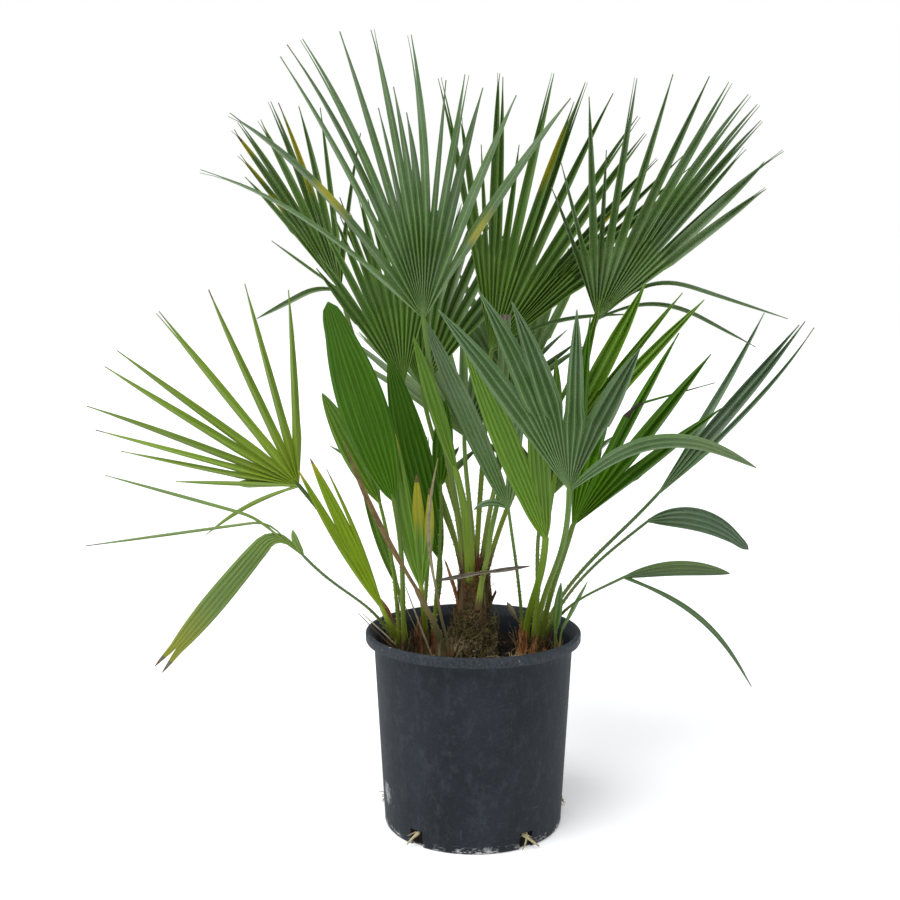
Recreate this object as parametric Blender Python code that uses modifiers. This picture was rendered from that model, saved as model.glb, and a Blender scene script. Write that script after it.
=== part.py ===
"""A clump-forming fan palm in a round nursery pot, in metres with +Z up.

The origin is the middle of the pot's flat underside. The plant is seen from
the front along +Y, with +X on the right.

Each frond is one solid: a tapering stalk, and a thin blade whose fan of
segments is cut down to the point where the segments part. An undivided young
leaf is one or more lobes on a stalk instead.
"""
import math
import random
from dataclasses import dataclass, field

import bmesh
import bpy
from mathutils import Vector

GAP = 0.0003

# Pot
RIM_RADIUS = 0.150
LIP_HEIGHT = 0.014
WALL_TOP_RADIUS = 0.1385
BASE_RADIUS = 0.124
POT_HEIGHT = 0.273
WALL = 0.003
NOTCHES = 5
FIRST_NOTCH = -38.4
NOTCH_WIDTH = 0.021
NOTCH_HEIGHT = 0.016
NOTCH_DEPTH = 0.012
TURNED_STEPS = 48

# Soil
SOIL_TOP = 0.235

# Blades
THICKNESS_SHARE = 0.01
HUB_RADIUS = 0.007
BASE_SPREAD = 70
STALK_INTO_BLADE = 0.010
FREE_STATIONS = (0.6,)
LOBE_STATIONS = (0.0, 0.14, 0.32, 0.52, 0.72, 0.88, 1.0)
TIP_WIDTH = 0.0012
LINE_STEPS = 20
STALK_STATIONS = 5
STALK_FLARE = 1.35
STALK_PULL = 0.4
STALK_STRAIGHT = 0.6
STALK_UPRIGHT = 0.004
WELD = 0.00001

# Root ends out of the drainage notches: notch, sideways reach, outward reach and drop
DRAIN_ROOTS = ((0, -0.007, 0.013, 0.005), (1, -0.006, 0.010, 0.004), (1, 0.008, 0.014, 0.006),
               (2, 0.004, 0.014, 0.000), (2, -0.004, 0.011, 0.004),
               (4, -0.004, 0.014, 0.000), (4, 0.004, 0.011, 0.004))
ROOT_RADIUS = 0.0016
ROOT_LEVEL = 0.009
ROOT_STATIONS = 4

# Colours and roughness
COLOURS = {
    "pot_plastic": ((0.030, 0.036, 0.044), 0.55),
    "soil": ((0.030, 0.020, 0.013), 0.95),
    "root": ((0.50, 0.42, 0.30), 0.80),
    "bark": ((0.10, 0.065, 0.035), 0.90),
    "grey_green": ((0.060, 0.130, 0.055), 0.50),
    "mid_green": ((0.060, 0.140, 0.035), 0.45),
    "deep_green": ((0.030, 0.085, 0.022), 0.42),
    "bright_green": ((0.095, 0.200, 0.025), 0.42),
    "yellow_green": ((0.150, 0.230, 0.025), 0.45),
    "dry_brown": ((0.200, 0.110, 0.050), 0.80),
    "dry_pale": ((0.360, 0.290, 0.180), 0.80),
    "dry_grey": ((0.130, 0.120, 0.100), 0.85),
    "dry_orange": ((0.260, 0.120, 0.040), 0.80),
}


@dataclass
class Crown:
    """A stem that stalks stand on: its foot, its top and their radii."""
    foot: tuple
    top: tuple
    foot_radius: float
    top_radius: float


@dataclass
class Ray:
    """One segment of a fan: angle at the hub, length, bend to its side, share of the usual width, and lift."""
    angle: float
    length: float
    bend: float
    width: float = 1.0
    lift: float = 0.0


@dataclass
class Fan:
    """Segments side by side, with angles in degrees from upright, right positive."""
    start: float
    end: float
    count: int
    length: float
    left: float = 0.85
    right: float = 0.85
    joined: float = 0.42
    droop: float = 6
    cup: float = 0.10
    fill: float = 0.78
    widest: float = 0.03


@dataclass
class Lobe:
    """One narrow blade that leaves the hub at an angle and may bend over."""
    angle: float
    length: float
    width: float
    fall: float = None
    fold: float = 0.5
    ease: float = 0.5
    bow: float = 0.0


@dataclass
class Frond:
    """A stalk from a crown to a hub, and the blade on it."""
    name: str
    crown: str
    foot: tuple
    hub: tuple
    lean: float
    arrive: float
    colour: str
    stalk: float = 0.0032
    turn: float = 0
    fan: Fan = None
    lobes: list = field(default_factory=list)


# Segments of the fans whose places are known, from left to right: angle at the hub, length, bend, width
RAYS = {
    "frond_front_left": ((-46.5, 0.337, -31, 0.6), (-34.7, 0.347, -24, 1), (-25.7, 0.361, -6, 0.85),
        (-20.9, 0.37, -14, 0.9), (-17.7, 0.368, -14, 1), (-14, 0.361, -4, 1), (-10.8, 0.266, -2, 0.7),
        (-7.6, 0.355, -5, 0.9), (-4.4, 0.288, -7, 0.9), (-1.2, 0.257, -9, 1), (2, 0.345, -13, 1),
        (5.6, 0.295, 0, 0.7), (10.2, 0.304, 0, 1), (13.8, 0.293, 2, 1.25), (21, 0.298, 4, 1.25),
        (31, 0.325, 9, 1.35)),
    "frond_upper_left": ((-37.4, 0.205, -8, 0.8), (-34.5, 0.237, -7, 0.8), (-31.5, 0.269, -7, 1),
        (-28.5, 0.274, -8, 1), (-23.5, 0.264, -6, 1.1), (-19, 0.286, -5, 1), (-16, 0.28, -7, 1),
        (-11.4, 0.265, -4, 1.1), (-5.8, 0.261, -2, 0.8), (5.6, 0.22, 6, 0.6)),
    "frond_back_centre": ((-9.2, 0.408, -4, 0.8), (-6.6, 0.347, -2, 0.9), (-2.7, 0.3, 0, 0.6),
        (1, 0.411, 2, 1), (3.2, 0.403, -2, 1), (7.8, 0.31, 0, 0.9), (11.9, 0.43, 2, 1.2), (17, 0.395, 5, 1),
        (19.1, 0.43, 1, 1.1), (23.8, 0.43, 4, 1.2), (30.7, 0.413, 4, 1.1), (33.9, 0.393, 4, 1.1),
        (38.7, 0.381, 5, 1), (40.9, 0.336, -1, 0.7), (43, 0.406, 4, 0.8), (45.2, 0.402, 6, 0.7),
        (47.3, 0.35, 2, 0.9), (49.9, 0.3, 4, 0.9), (53.3, 0.266, 3, 0.9)),
    "frond_upper_right": ((-18.6, 0.191, -5, 0.5), (-12.9, 0.217, -4, 0.55), (-3, 0.3, 0, 1),
        (2.3, 0.231, 1, 0.6), (8.5, 0.33, 0, 0.9), (16.7, 0.346, 0, 1), (23.6, 0.359, 2, 1.2),
        (28.4, 0.366, 2, 1.2), (31.4, 0.368, 8, 1.1), (34.5, 0.364, 7, 1.1), (37.6, 0.344, 5, 1.1),
        (40.7, 0.302, -1, 0.7), (43.8, 0.336, 11, 0.6), (46.9, 0.306, -1, 1.3), (51.1, 0.285, 2, 1.2)),
    "frond_right_front": ((-31.9, 0.28, -9, 1), (-20.2, 0.279, -12, 1.05), (-14, 0.256, -10, 1.05),
        (0.3, 0.234, -2, 0.8), (21.1, 0.197, 6, 1.1)),
    "frond_right": ((4.4, 0.272, 0, 0.9), (15.4, 0.18, 0, 1), (26.7, 0.287, 1, 0.9), (36.6, 0.287, -1, 1.3),
        (48.6, 0.247, 4, 1.1)),
    "frond_right_behind": ((13.5, 0.212, 0, 0.9), (26.8, 0.258, -1, 1.6), (36.3, 0.276, 4, 0.7),
        (42, 0.287, 4, 1.1)),
    "frond_far_right": ((32.9, 0.304, -3, 1), (39.3, 0.315, 4, 1.1), (42.8, 0.322, -6, 1),
        (46.2, 0.313, -13, 0.6)),
    "frond_left": ((-89.9, 0.166, -2, 0.5), (-80.8, 0.244, 4, 0.7), (-74.8, 0.281, 0, 0.8),
        (-68.7, 0.302, -3, 1), (-58.1, 0.3, 0, 1.15), (-52, 0.296, -1, 1.15), (-37.5, 0.292, -1, 1.1),
        (-23.9, 0.283, 1, 1.1), (-13.8, 0.275, 0, 1), (-1.8, 0.259, -1, 1)),
}

CROWNS = {
    "trunk": Crown((-0.004, 0.0), (0.002, 0.0, 0.349), 0.035, 0.0225),
    "sucker_left": Crown((-0.098, -0.022), (-0.101, -0.022, 0.262), 0.020, 0.0165),
    "sucker_middle": Crown((-0.062, -0.002), (-0.063, -0.002, 0.262), 0.017, 0.0140),
    "sucker_dry": Crown((-0.036, -0.062), (-0.038, -0.062, 0.252), 0.012, 0.0105),
    "sucker_right": Crown((0.084, 0.0), (0.085, 0.0, 0.262), 0.023, 0.0205),
    "sucker_small": Crown((0.114, -0.030), (0.115, -0.030, 0.252), 0.009, 0.0080),
}

FRONDS = [
    Frond("frond_front_left", "trunk", (-0.0138, -0.0108), (-0.066, -0.090, 0.702), 16, -6, "grey_green",
          fan=Fan(-57, 34, 20, 0.354, left=0.96, right=0.84)),
    Frond("frond_upper_left", "trunk", (-0.0152, 0.0088), (-0.186, 0.060, 0.742), -6, -12, "mid_green",
          stalk=0.0028, fan=Fan(-44, 14, 13, 0.284, left=0.80, right=0.62, joined=0.40),
          lobes=[Lobe(-78, 0.128, 0.008, fall=-118, fold=0.25, ease=0.25), Lobe(-54, 0.120, 0.004)]),
    Frond("frond_behind_left", "trunk", (-0.0175, 0.0), (-0.096, 0.005, 0.613), -2, -14, "mid_green",
          stalk=0.0030, fan=Fan(-38, 17, 12, 0.270, left=0.72, right=0.60, joined=0.44)),
    Frond("frond_back_centre", "trunk", (0.002, 0.007), (0.027, 0.100, 0.656), -12, 4, "deep_green",
          fan=Fan(-12, 58, 22, 0.425, left=0.98, right=0.92, joined=0.40),
          lobes=[Lobe(55, 0.215, 0.006, fall=88, fold=0.4)]),
    Frond("frond_upper_right", "trunk", (0.0169, 0.0045), (0.172, 0.040, 0.703), 0, 20, "deep_green",
          stalk=0.0030, fan=Fan(-18, 54, 19, 0.360, left=0.60, right=0.88, joined=0.36),
          lobes=[Lobe(52, 0.288, 0.006, fall=108, fold=0.33, ease=0.22),
                 Lobe(66, 0.240, 0.006, fall=118, fold=0.35, ease=0.35)]),
    Frond("frond_right_front", "sucker_right", (0.002, -0.0145), (0.114, -0.175, 0.492), 20, -2, "grey_green",
          stalk=0.0034, fan=Fan(-38, 30, 7, 0.275, left=1.04, right=0.74, joined=0.45, fill=0.95),
          lobes=[Lobe(46, 0.255, 0.020, fall=118, fold=0.5, ease=0.45)]),
    Frond("frond_right", "sucker_right", (0.0105, -0.0095), (0.130, -0.070, 0.430), 8, 14, "deep_green",
          stalk=0.0034, fan=Fan(12, 56, 7, 0.285, left=0.80, right=0.94, joined=0.40),
          lobes=[Lobe(24, 0.285, 0.010, fall=74, fold=0.62, ease=0.08)]),
    Frond("frond_right_behind", "sucker_right", (0.000, 0.0035), (0.118, 0.010, 0.520), -2, 8, "bright_green",
          stalk=0.0028, fan=Fan(20, 48, 5, 0.285, left=0.88, right=1.0, joined=0.48),
          lobes=[Lobe(-2, 0.130, 0.014)]),
    Frond("frond_far_right", "sucker_right", (0.0125, 0.010), (0.263, 0.050, 0.455), -4, 44, "grey_green",
          stalk=0.0024, turn=8, fan=Fan(27, 43, 4, 0.320, left=0.92, right=1.0, joined=0.30)),
    Frond("leaf_right_arching", "sucker_right", (0.0165, 0.0035), (0.242, 0.000, 0.425), -4, 52, "deep_green",
          stalk=0.0020, lobes=[Lobe(80, 0.152, 0.032, fall=132)]),
    Frond("leaf_right_low", "sucker_right", (0.0175, -0.0035), (0.199, -0.070, 0.361), 4, 64, "deep_green",
          stalk=0.0020, lobes=[Lobe(78, 0.142, 0.030, fall=98), Lobe(112, 0.240, 0.007, fall=150)]),
    Frond("frond_left", "sucker_left", (-0.010, 0.003), (-0.234, -0.050, 0.481), 5, -38, "yellow_green",
          stalk=0.0028, fan=Fan(-84, 2, 10, 0.300, left=0.84, right=0.87, joined=0.27),
          lobes=[Lobe(-88, 0.165, 0.006), Lobe(-108, 0.145, 0.006, fall=-128)]),
    Frond("leaf_left_hanging", "sucker_left", (-0.0115, -0.005), (-0.222, -0.095, 0.393), 4, -42, "mid_green",
          stalk=0.0020, lobes=[Lobe(-45, 0.290, 0.038, fall=-140, fold=0.16, ease=0.09),
                               Lobe(-50, 0.282, 0.006, fall=-74, fold=0.3, ease=0.1),
                               Lobe(-45, 0.305, 0.005, fall=-98, fold=0.22, ease=0.08),
                               Lobe(-35, 0.040, 0.012, fall=-10)]),
    Frond("leaf_left_broad", "sucker_left", (0.0055, -0.0115), (-0.106, -0.085, 0.466), 8, -10, "deep_green",
          stalk=0.0030, lobes=[Lobe(-17, 0.272, 0.062)]),
    Frond("leaf_left_narrow", "sucker_left", (-0.001, -0.001), (-0.127, -0.045, 0.458), 2, -14, "bright_green",
          stalk=0.0022, lobes=[Lobe(-27, 0.165, 0.032)]),
    Frond("leaf_left_young", "sucker_left", (-0.004, -0.0120), (-0.122, -0.065, 0.315), 4, -22, "yellow_green",
          stalk=0.0030, lobes=[Lobe(-27, 0.222, 0.022, bow=0.02), Lobe(-36, 0.214, 0.016, fall=-28),
                               Lobe(-17, 0.206, 0.007, fall=-24)]),
    Frond("leaf_left_short", "sucker_left", (0.0075, 0.006), (-0.106, 0.012, 0.330), -2, -14, "bright_green",
          stalk=0.0024, lobes=[Lobe(-19, 0.150, 0.016)]),
    Frond("leaf_middle_young", "sucker_middle", (-0.003, -0.008), (-0.071, -0.060, 0.345), 6, -3, "yellow_green",
          stalk=0.0032, lobes=[Lobe(-14, 0.226, 0.026, fall=-5), Lobe(-2, 0.155, 0.018),
                               Lobe(10, 0.138, 0.014, fall=0)]),
    Frond("leaf_middle_dark", "sucker_middle", (0.007, -0.001), (-0.046, -0.010, 0.374), 0, -4, "deep_green",
          stalk=0.0028, lobes=[Lobe(-14, 0.286, 0.048)]),
    Frond("leaf_middle_small", "sucker_middle", (0.0085, -0.0085), (-0.045, -0.026, 0.479), 0, -2, "deep_green",
          stalk=0.0020, lobes=[Lobe(3, 0.115, 0.028)]),
    Frond("leaf_trunk_narrow", "trunk", (0.000, -0.0175), (-0.024, -0.062, 0.500), 8, -14, "bright_green",
          stalk=0.0024, lobes=[Lobe(-17, 0.190, 0.020)]),
    Frond("spear_leaf", "trunk", (0.0045, -0.0085), (0.034, -0.020, 0.490), 0, -4, "mid_green",
          stalk=0.0032, lobes=[Lobe(2, 0.235, 0.016)]),
    Frond("frond_centre", "sucker_right", (-0.0155, 0.002), (0.046, -0.042, 0.450), 2, -8, "grey_green",
          stalk=0.0020, lobes=[Lobe(-24, 0.275, 0.036), Lobe(6, 0.200, 0.022), Lobe(-62, 0.050, 0.012, fall=-125)]),
    Frond("leaf_front_two_lobed", "sucker_right", (-0.012, -0.008), (0.092, -0.098, 0.418), 12, 2, "bright_green",
          stalk=0.0044, lobes=[Lobe(-22, 0.292, 0.044), Lobe(-6, 0.200, 0.036)]),
    Frond("frond_rear_left", "trunk", (-0.0088, 0.0152), (-0.075, 0.140, 0.600), -24, -6, "deep_green",
          turn=14, fan=Fan(-24, 44, 13, 0.330)),
    Frond("frond_rear_right", "trunk", (0.0088, 0.0152), (0.070, 0.190, 0.575), -38, 6, "mid_green",
          turn=-14, fan=Fan(-44, 18, 12, 0.340)),
    Frond("frond_rear_centre", "trunk", (0.000, 0.0175), (-0.010, 0.230, 0.520), -56, 0, "mid_green",
          fan=Fan(-46, 46, 17, 0.350)),
    Frond("frond_rear_low_left", "sucker_middle", (-0.005, 0.009), (-0.078, 0.150, 0.420), -66, 0, "mid_green",
          stalk=0.0026, turn=20, fan=Fan(-32, 46, 10, 0.240)),
    Frond("frond_rear_low_right", "sucker_right", (0.005, 0.0145), (0.115, 0.160, 0.430), -66, 0, "deep_green",
          stalk=0.0026, turn=-20, fan=Fan(-46, 24, 10, 0.250)),
    Frond("leaf_right_small", "sucker_small", (-0.0025, -0.001), (0.112, -0.034, 0.275), 4, 4, "deep_green",
          stalk=0.0016, lobes=[Lobe(5, 0.072, 0.012)]),
    Frond("leaf_right_thin", "sucker_small", (0.0035, 0.001), (0.122, -0.030, 0.280), 4, 20, "mid_green",
          stalk=0.0014, lobes=[Lobe(26, 0.075, 0.006)]),
    Frond("dry_leaf_long", "sucker_dry", (-0.003, 0.003), (-0.074, -0.108, 0.350), 6, -24, "dry_brown",
          stalk=0.0032, lobes=[Lobe(-30, 0.220, 0.0075, fall=-20)]),
    Frond("dry_leaf_pale", "sucker_dry", (0.004, -0.002), (-0.048, -0.085, 0.335), 2, -6, "dry_pale",
          stalk=0.0018, lobes=[Lobe(-12, 0.190, 0.0045, fall=12)]),
    Frond("dry_leaf_across", "trunk", (0.0100, -0.0150), (0.012, -0.036, 0.360), 0, 0, "dry_grey",
          stalk=0.0020, lobes=[Lobe(82, 0.066, 0.006), Lobe(-100, 0.066, 0.006)]),
    Frond("dry_stub_right", "sucker_right", (-0.0085, 0.0125), (0.060, 0.012, 0.285), 4, -30, "dry_orange",
          stalk=0.0018, lobes=[Lobe(-28, 0.026, 0.008)]),
    Frond("dry_stub_left", "sucker_left", (-0.002, 0.010), (-0.112, -0.006, 0.285), 0, -20, "dry_orange",
          stalk=0.0024, lobes=[Lobe(-30, 0.040, 0.009)]),
]


def direction(frond, angle):
    """The way a part of the blade points, at an angle from upright in the blade's plane."""
    lean, turn = math.radians(frond.lean), math.radians(frond.turn)
    up = Vector((math.sin(turn) * math.sin(lean), -math.cos(turn) * math.sin(lean), math.cos(lean)))
    side = Vector((math.cos(turn), math.sin(turn), 0))
    angle = math.radians(angle)
    return up * math.cos(angle) + side * math.sin(angle)


def upper_side(frond):
    """The side of the blade that is turned up, into which a fan is cupped."""
    front = direction(frond, 90).cross(direction(frond, 0))
    return front if front.z >= 0 else -front


def smooth_step(value):
    """0 below 0, 1 above 1, and an even change between."""
    value = min(max(value, 0.0), 1.0)
    return value * value * (3 - 2 * value)


def walk(frond, length, stations, angle_at):
    """Points at shares of a length, along a line whose angle changes on the way."""
    place, reached, line = Vector(frond.hub), 0.0, []
    for share in stations:
        steps = max(1, round((share - reached) * LINE_STEPS))
        step = (share - reached) / steps
        for _ in range(steps):
            place = place + direction(frond, angle_at(reached + step / 2)) * length * step
            reached += step
        line.append(place.copy())
    return line


def fan_line(frond, ray, stations):
    """Points along one segment of a fan, which bends to its side and is cupped."""
    fan = frond.fan
    off_middle = (2 * ray.angle - fan.start - fan.end) / (fan.end - fan.start)
    line = walk(frond, ray.length, stations, lambda share: ray.angle + ray.bend * share ** 2)
    rise = fan.cup * off_middle ** 2 * ray.length
    upper = upper_side(frond)
    return [point + upper * (rise + ray.lift * share) * share for point, share in zip(line, stations)]


def lobe_line(frond, lobe, stations):
    """Points along a lobe, which may fold over part of the way."""
    fall = lobe.angle if lobe.fall is None else lobe.fall

    def angle_at(share):
        past = (share - lobe.fold + lobe.ease) / (2 * lobe.ease)
        return lobe.angle + (fall - lobe.angle) * smooth_step(past)

    line = walk(frond, lobe.length, stations, angle_at)
    upper = upper_side(frond)
    return [point + upper * lobe.bow * lobe.length * share ** 2 for point, share in zip(line, stations)]


def fan_rays(frond):
    """The segments of a fan from left to right, placed by its table or else by a seeded rule."""
    fan = frond.fan
    chance = random.Random(frond.name)
    rays = [Ray(*ray) for ray in RAYS.get(frond.name, ())]
    pitch = (fan.end - fan.start) / fan.count
    for number in range(0 if rays else fan.count):
        angle = fan.start + (number + 0.5 + chance.uniform(-0.2, 0.2)) * pitch
        across = (number + 0.5) / fan.count * 2 - 1
        edge = fan.left if across < 0 else fan.right
        length = fan.length * (1 - (1 - edge) * across ** 2) * chance.uniform(0.90, 1.02)
        rays.append(Ray(angle, length, fan.droop * math.sin(math.radians(angle))))
    for ray in rays:
        ray.lift = chance.uniform(-0.03, 0.03) * fan.length
    return rays


def fan_borders(frond, rays):
    """Where the segments part, a little nearer the hub in a wide gap: rays as long as the joined part."""
    fan = frond.fan
    angles = [ray.angle for ray in rays]
    usual = (angles[-1] - angles[0]) / (len(rays) - 1)
    gaps = [(angles[0] - usual / 2, 1.0)]
    for left, right in zip(angles, angles[1:]):
        gaps.append(((left + right) / 2, min(max(usual / (right - left), 0.5), 1.2) ** 0.5))
    gaps.append((angles[-1] + usual / 2, 1.0))
    return [Ray(angle, fan.length * fan.joined * nearer, 0.0) for angle, nearer in gaps]


def fan_sheet(frond):
    """The open surface of a fan: joined near the hub, then cut into segments."""
    fan = frond.fan
    shape = bmesh.new()
    rays = fan_rays(frond)
    middle = (fan.start + fan.end) / 2
    spread = max(1.0, BASE_SPREAD / (fan.end - fan.start))
    borders = []
    for border in fan_borders(frond, rays):
        base = Vector(frond.hub) + direction(frond, middle + (border.angle - middle) * spread) * HUB_RADIUS
        split = fan_line(frond, border, (1,))[0]
        borders.append((shape.verts.new(base), shape.verts.new(split)))
    for number, ray in enumerate(rays):
        left, right = borders[number], borders[number + 1]
        shape.faces.new((left[0], right[0], right[1], left[1]))
        start = fan.joined * fan.length / ray.length
        line = fan_line(frond, ray, [start + (1 - start) * share for share in (*FREE_STATIONS, 1)])
        across = direction(frond, ray.angle + ray.bend / 2 + 90)
        full = min((right[1].co - left[1].co).length * fan.fill, fan.widest) * ray.width
        edge = (left[1], right[1])
        for point, share in zip(line, (*FREE_STATIONS, 1)):
            reach = across * max(full * (1 - share ** 1.6), TIP_WIDTH) / 2
            ahead = (shape.verts.new(point - reach), shape.verts.new(point + reach))
            shape.faces.new((edge[0], edge[1], ahead[1], ahead[0]))
            edge = ahead
    return shape


def lobe_sheet(frond, lobe):
    """The open surface of one lobe, widest near its middle and pointed."""
    shape = bmesh.new()
    line = lobe_line(frond, lobe, LOBE_STATIONS)
    front = direction(frond, 90).cross(direction(frond, 0))
    edge = None
    for number, (point, share) in enumerate(zip(line, LOBE_STATIONS)):
        before, after = line[max(number - 1, 0)], line[min(number + 1, len(line) - 1)]
        across = (after - before).cross(front).normalized()
        full = lobe.width * math.sin(math.pi * share ** 0.9) ** 0.7 if share < 1 else TIP_WIDTH
        reach = across * max(full, min(HUB_RADIUS, lobe.width) * (1 - share), TIP_WIDTH) / 2
        ahead = (shape.verts.new(point + reach), shape.verts.new(point - reach))
        if edge:
            shape.faces.new((edge[0], edge[1], ahead[1], ahead[0]))
        edge = ahead
    return shape


def plain_material(name, colour, roughness):
    """A surface of one colour, with no metal in it."""
    material = bpy.data.materials.new(name)
    material.use_nodes = True
    shader = material.node_tree.nodes["Principled BSDF"]
    shader.inputs["Base Color"].default_value = (*colour, 1)
    shader.inputs["Roughness"].default_value = roughness
    shader.inputs["Metallic"].default_value = 0
    return material


def finished(thing, name, collection):
    """The object with its modifiers or bevel made real, welded, under a new name."""
    bpy.context.view_layer.update()
    evaluated = thing.evaluated_get(bpy.context.evaluated_depsgraph_get())
    mesh = bpy.data.meshes.new_from_object(evaluated)
    weld = bmesh.new()
    weld.from_mesh(mesh)
    bmesh.ops.remove_doubles(weld, verts=weld.verts, dist=WELD)
    weld.to_mesh(mesh)
    weld.free()
    whole = bpy.data.objects.new(name, mesh)
    whole.matrix_world = thing.matrix_world
    collection.objects.link(whole)
    bpy.data.objects.remove(thing)
    whole.name = name
    return whole


def tube(name, points, radii, collection, resolution=1):
    """A capped tube through points, with a radius at each."""
    curve = bpy.data.curves.new(name, "CURVE")
    curve.dimensions = "3D"
    curve.bevel_depth = 1
    curve.bevel_resolution = resolution
    curve.use_fill_caps = True
    spline = curve.splines.new("POLY")
    spline.points.add(len(points) - 1)
    for spot, point, radius in zip(spline.points, points, radii):
        spot.co = (*point, 1)
        spot.radius = radius
    thing = bpy.data.objects.new(name, curve)
    collection.objects.link(thing)
    return finished(thing, name, collection)


def turned(name, profile, collection):
    """A turned shape: a profile in the XZ plane, once round the Z axis."""
    mesh = bpy.data.meshes.new(name)
    edges = [(number, number + 1) for number in range(len(profile) - 1)]
    mesh.from_pydata([(radius, 0, height) for radius, height in profile], edges, [])
    thing = bpy.data.objects.new(name, mesh)
    collection.objects.link(thing)
    screw = thing.modifiers.new("turn", "SCREW")
    screw.steps = TURNED_STEPS
    screw.render_steps = TURNED_STEPS
    screw.use_merge_vertices = True
    screw.merge_threshold = 0.00005
    return thing


def blade(name, shape, thickness, collection):
    """A thin solid made from an open surface."""
    mesh = bpy.data.meshes.new(name)
    shape.to_mesh(mesh)
    shape.free()
    thing = bpy.data.objects.new(name, mesh)
    collection.objects.link(thing)
    solid = thing.modifiers.new("thickness", "SOLIDIFY")
    solid.thickness = thickness
    solid.offset = 0
    return finished(thing, name, collection)


def is_closed(thing):
    """Whether the object has faces, and every edge joins two of them."""
    bpy.context.view_layer.update()
    evaluated = thing.evaluated_get(bpy.context.evaluated_depsgraph_get())
    shape = bmesh.new()
    shape.from_mesh(evaluated.data)
    closed = len(shape.faces) > 0 and all(edge.is_manifold for edge in shape.edges)
    shape.free()
    return closed


def stalk_points(frond):
    """From the crown's flat top, upright at first, to a little past the hub."""
    crown = CROWNS[frond.crown]
    foot = Vector((crown.top[0] + frond.foot[0], crown.top[1] + frond.foot[1], crown.top[2] + GAP))
    hub = Vector(frond.hub)
    start = foot + Vector((0, 0, STALK_UPRIGHT))
    pull = (hub - start).length * STALK_PULL
    leaving = start + Vector((0, 0, 1)).lerp((hub - start).normalized(), STALK_STRAIGHT) * pull
    arriving = hub - direction(frond, frond.arrive) * pull
    points = [foot]
    for station in range(STALK_STATIONS + 1):
        t = station / STALK_STATIONS
        points.append(start * (1 - t) ** 3 + leaving * 3 * t * (1 - t) ** 2
                      + arriving * 3 * t ** 2 * (1 - t) + hub * t ** 3)
    middle = (frond.fan.start + frond.fan.end) / 2 if frond.fan else frond.lobes[0].angle
    points.append(hub + direction(frond, middle) * STALK_INTO_BLADE)
    return points


def make_frond(frond, plant, pieces, materials):
    """A stalk and its blade, joined into one solid."""
    points = stalk_points(frond)
    last = len(points) - 1
    radii = [frond.stalk * (1 + (STALK_FLARE - 1) * (1 - number / last)) for number in range(last)]
    radii.append(frond.stalk * 0.6)
    stem = tube(frond.name + "_stem", points, radii, plant)
    if frond.fan:
        blade("fan", fan_sheet(frond), frond.fan.length * THICKNESS_SHARE, pieces)
    for lobe in frond.lobes:
        blade("lobe", lobe_sheet(frond, lobe), lobe.length * THICKNESS_SHARE, pieces)
    union = stem.modifiers.new("blade", "BOOLEAN")
    union.operation = "UNION"
    union.operand_type = "COLLECTION"
    union.collection = pieces
    if not is_closed(stem):
        union.solver = "MANIFOLD"
    whole = finished(stem, frond.name, plant)
    for piece in list(pieces.objects):
        bpy.data.objects.remove(piece)
    whole.data.materials.clear()
    whole.data.materials.append(materials[frond.colour])
    return whole


def make_crown(name, crown, plant, material):
    """A stem with a flat cut at soil level, a flare above it and a flat top."""
    foot = Vector((crown.foot[0], crown.foot[1], SOIL_TOP + GAP))
    top = Vector(crown.top)
    points, radii = [], []
    for share, swell in ((0, 1.0), (0.10, 0.90), (0.30, 0.45), (0.60, 0.12), (0.9, 0.0), (1, 0.0)):
        level = foot.lerp(top, share)
        lean_share = smooth_step((share - 0.1) / 0.8)
        points.append((foot.x + (top.x - foot.x) * lean_share, foot.y + (top.y - foot.y) * lean_share, level.z))
        radii.append(crown.top_radius + (crown.foot_radius - crown.top_radius) * swell)
    stem = tube(name, points, radii, plant, resolution=4)
    stem.data.materials.clear()
    stem.data.materials.append(material)
    stem.data.shade_smooth()
    stem.data.set_sharp_from_angle(angle=math.radians(40))
    return stem


def wall_radius(height):
    """The outer radius of the pot's tapered wall."""
    return BASE_RADIUS + (WALL_TOP_RADIUS - BASE_RADIUS) * height / (POT_HEIGHT - LIP_HEIGHT)


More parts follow.
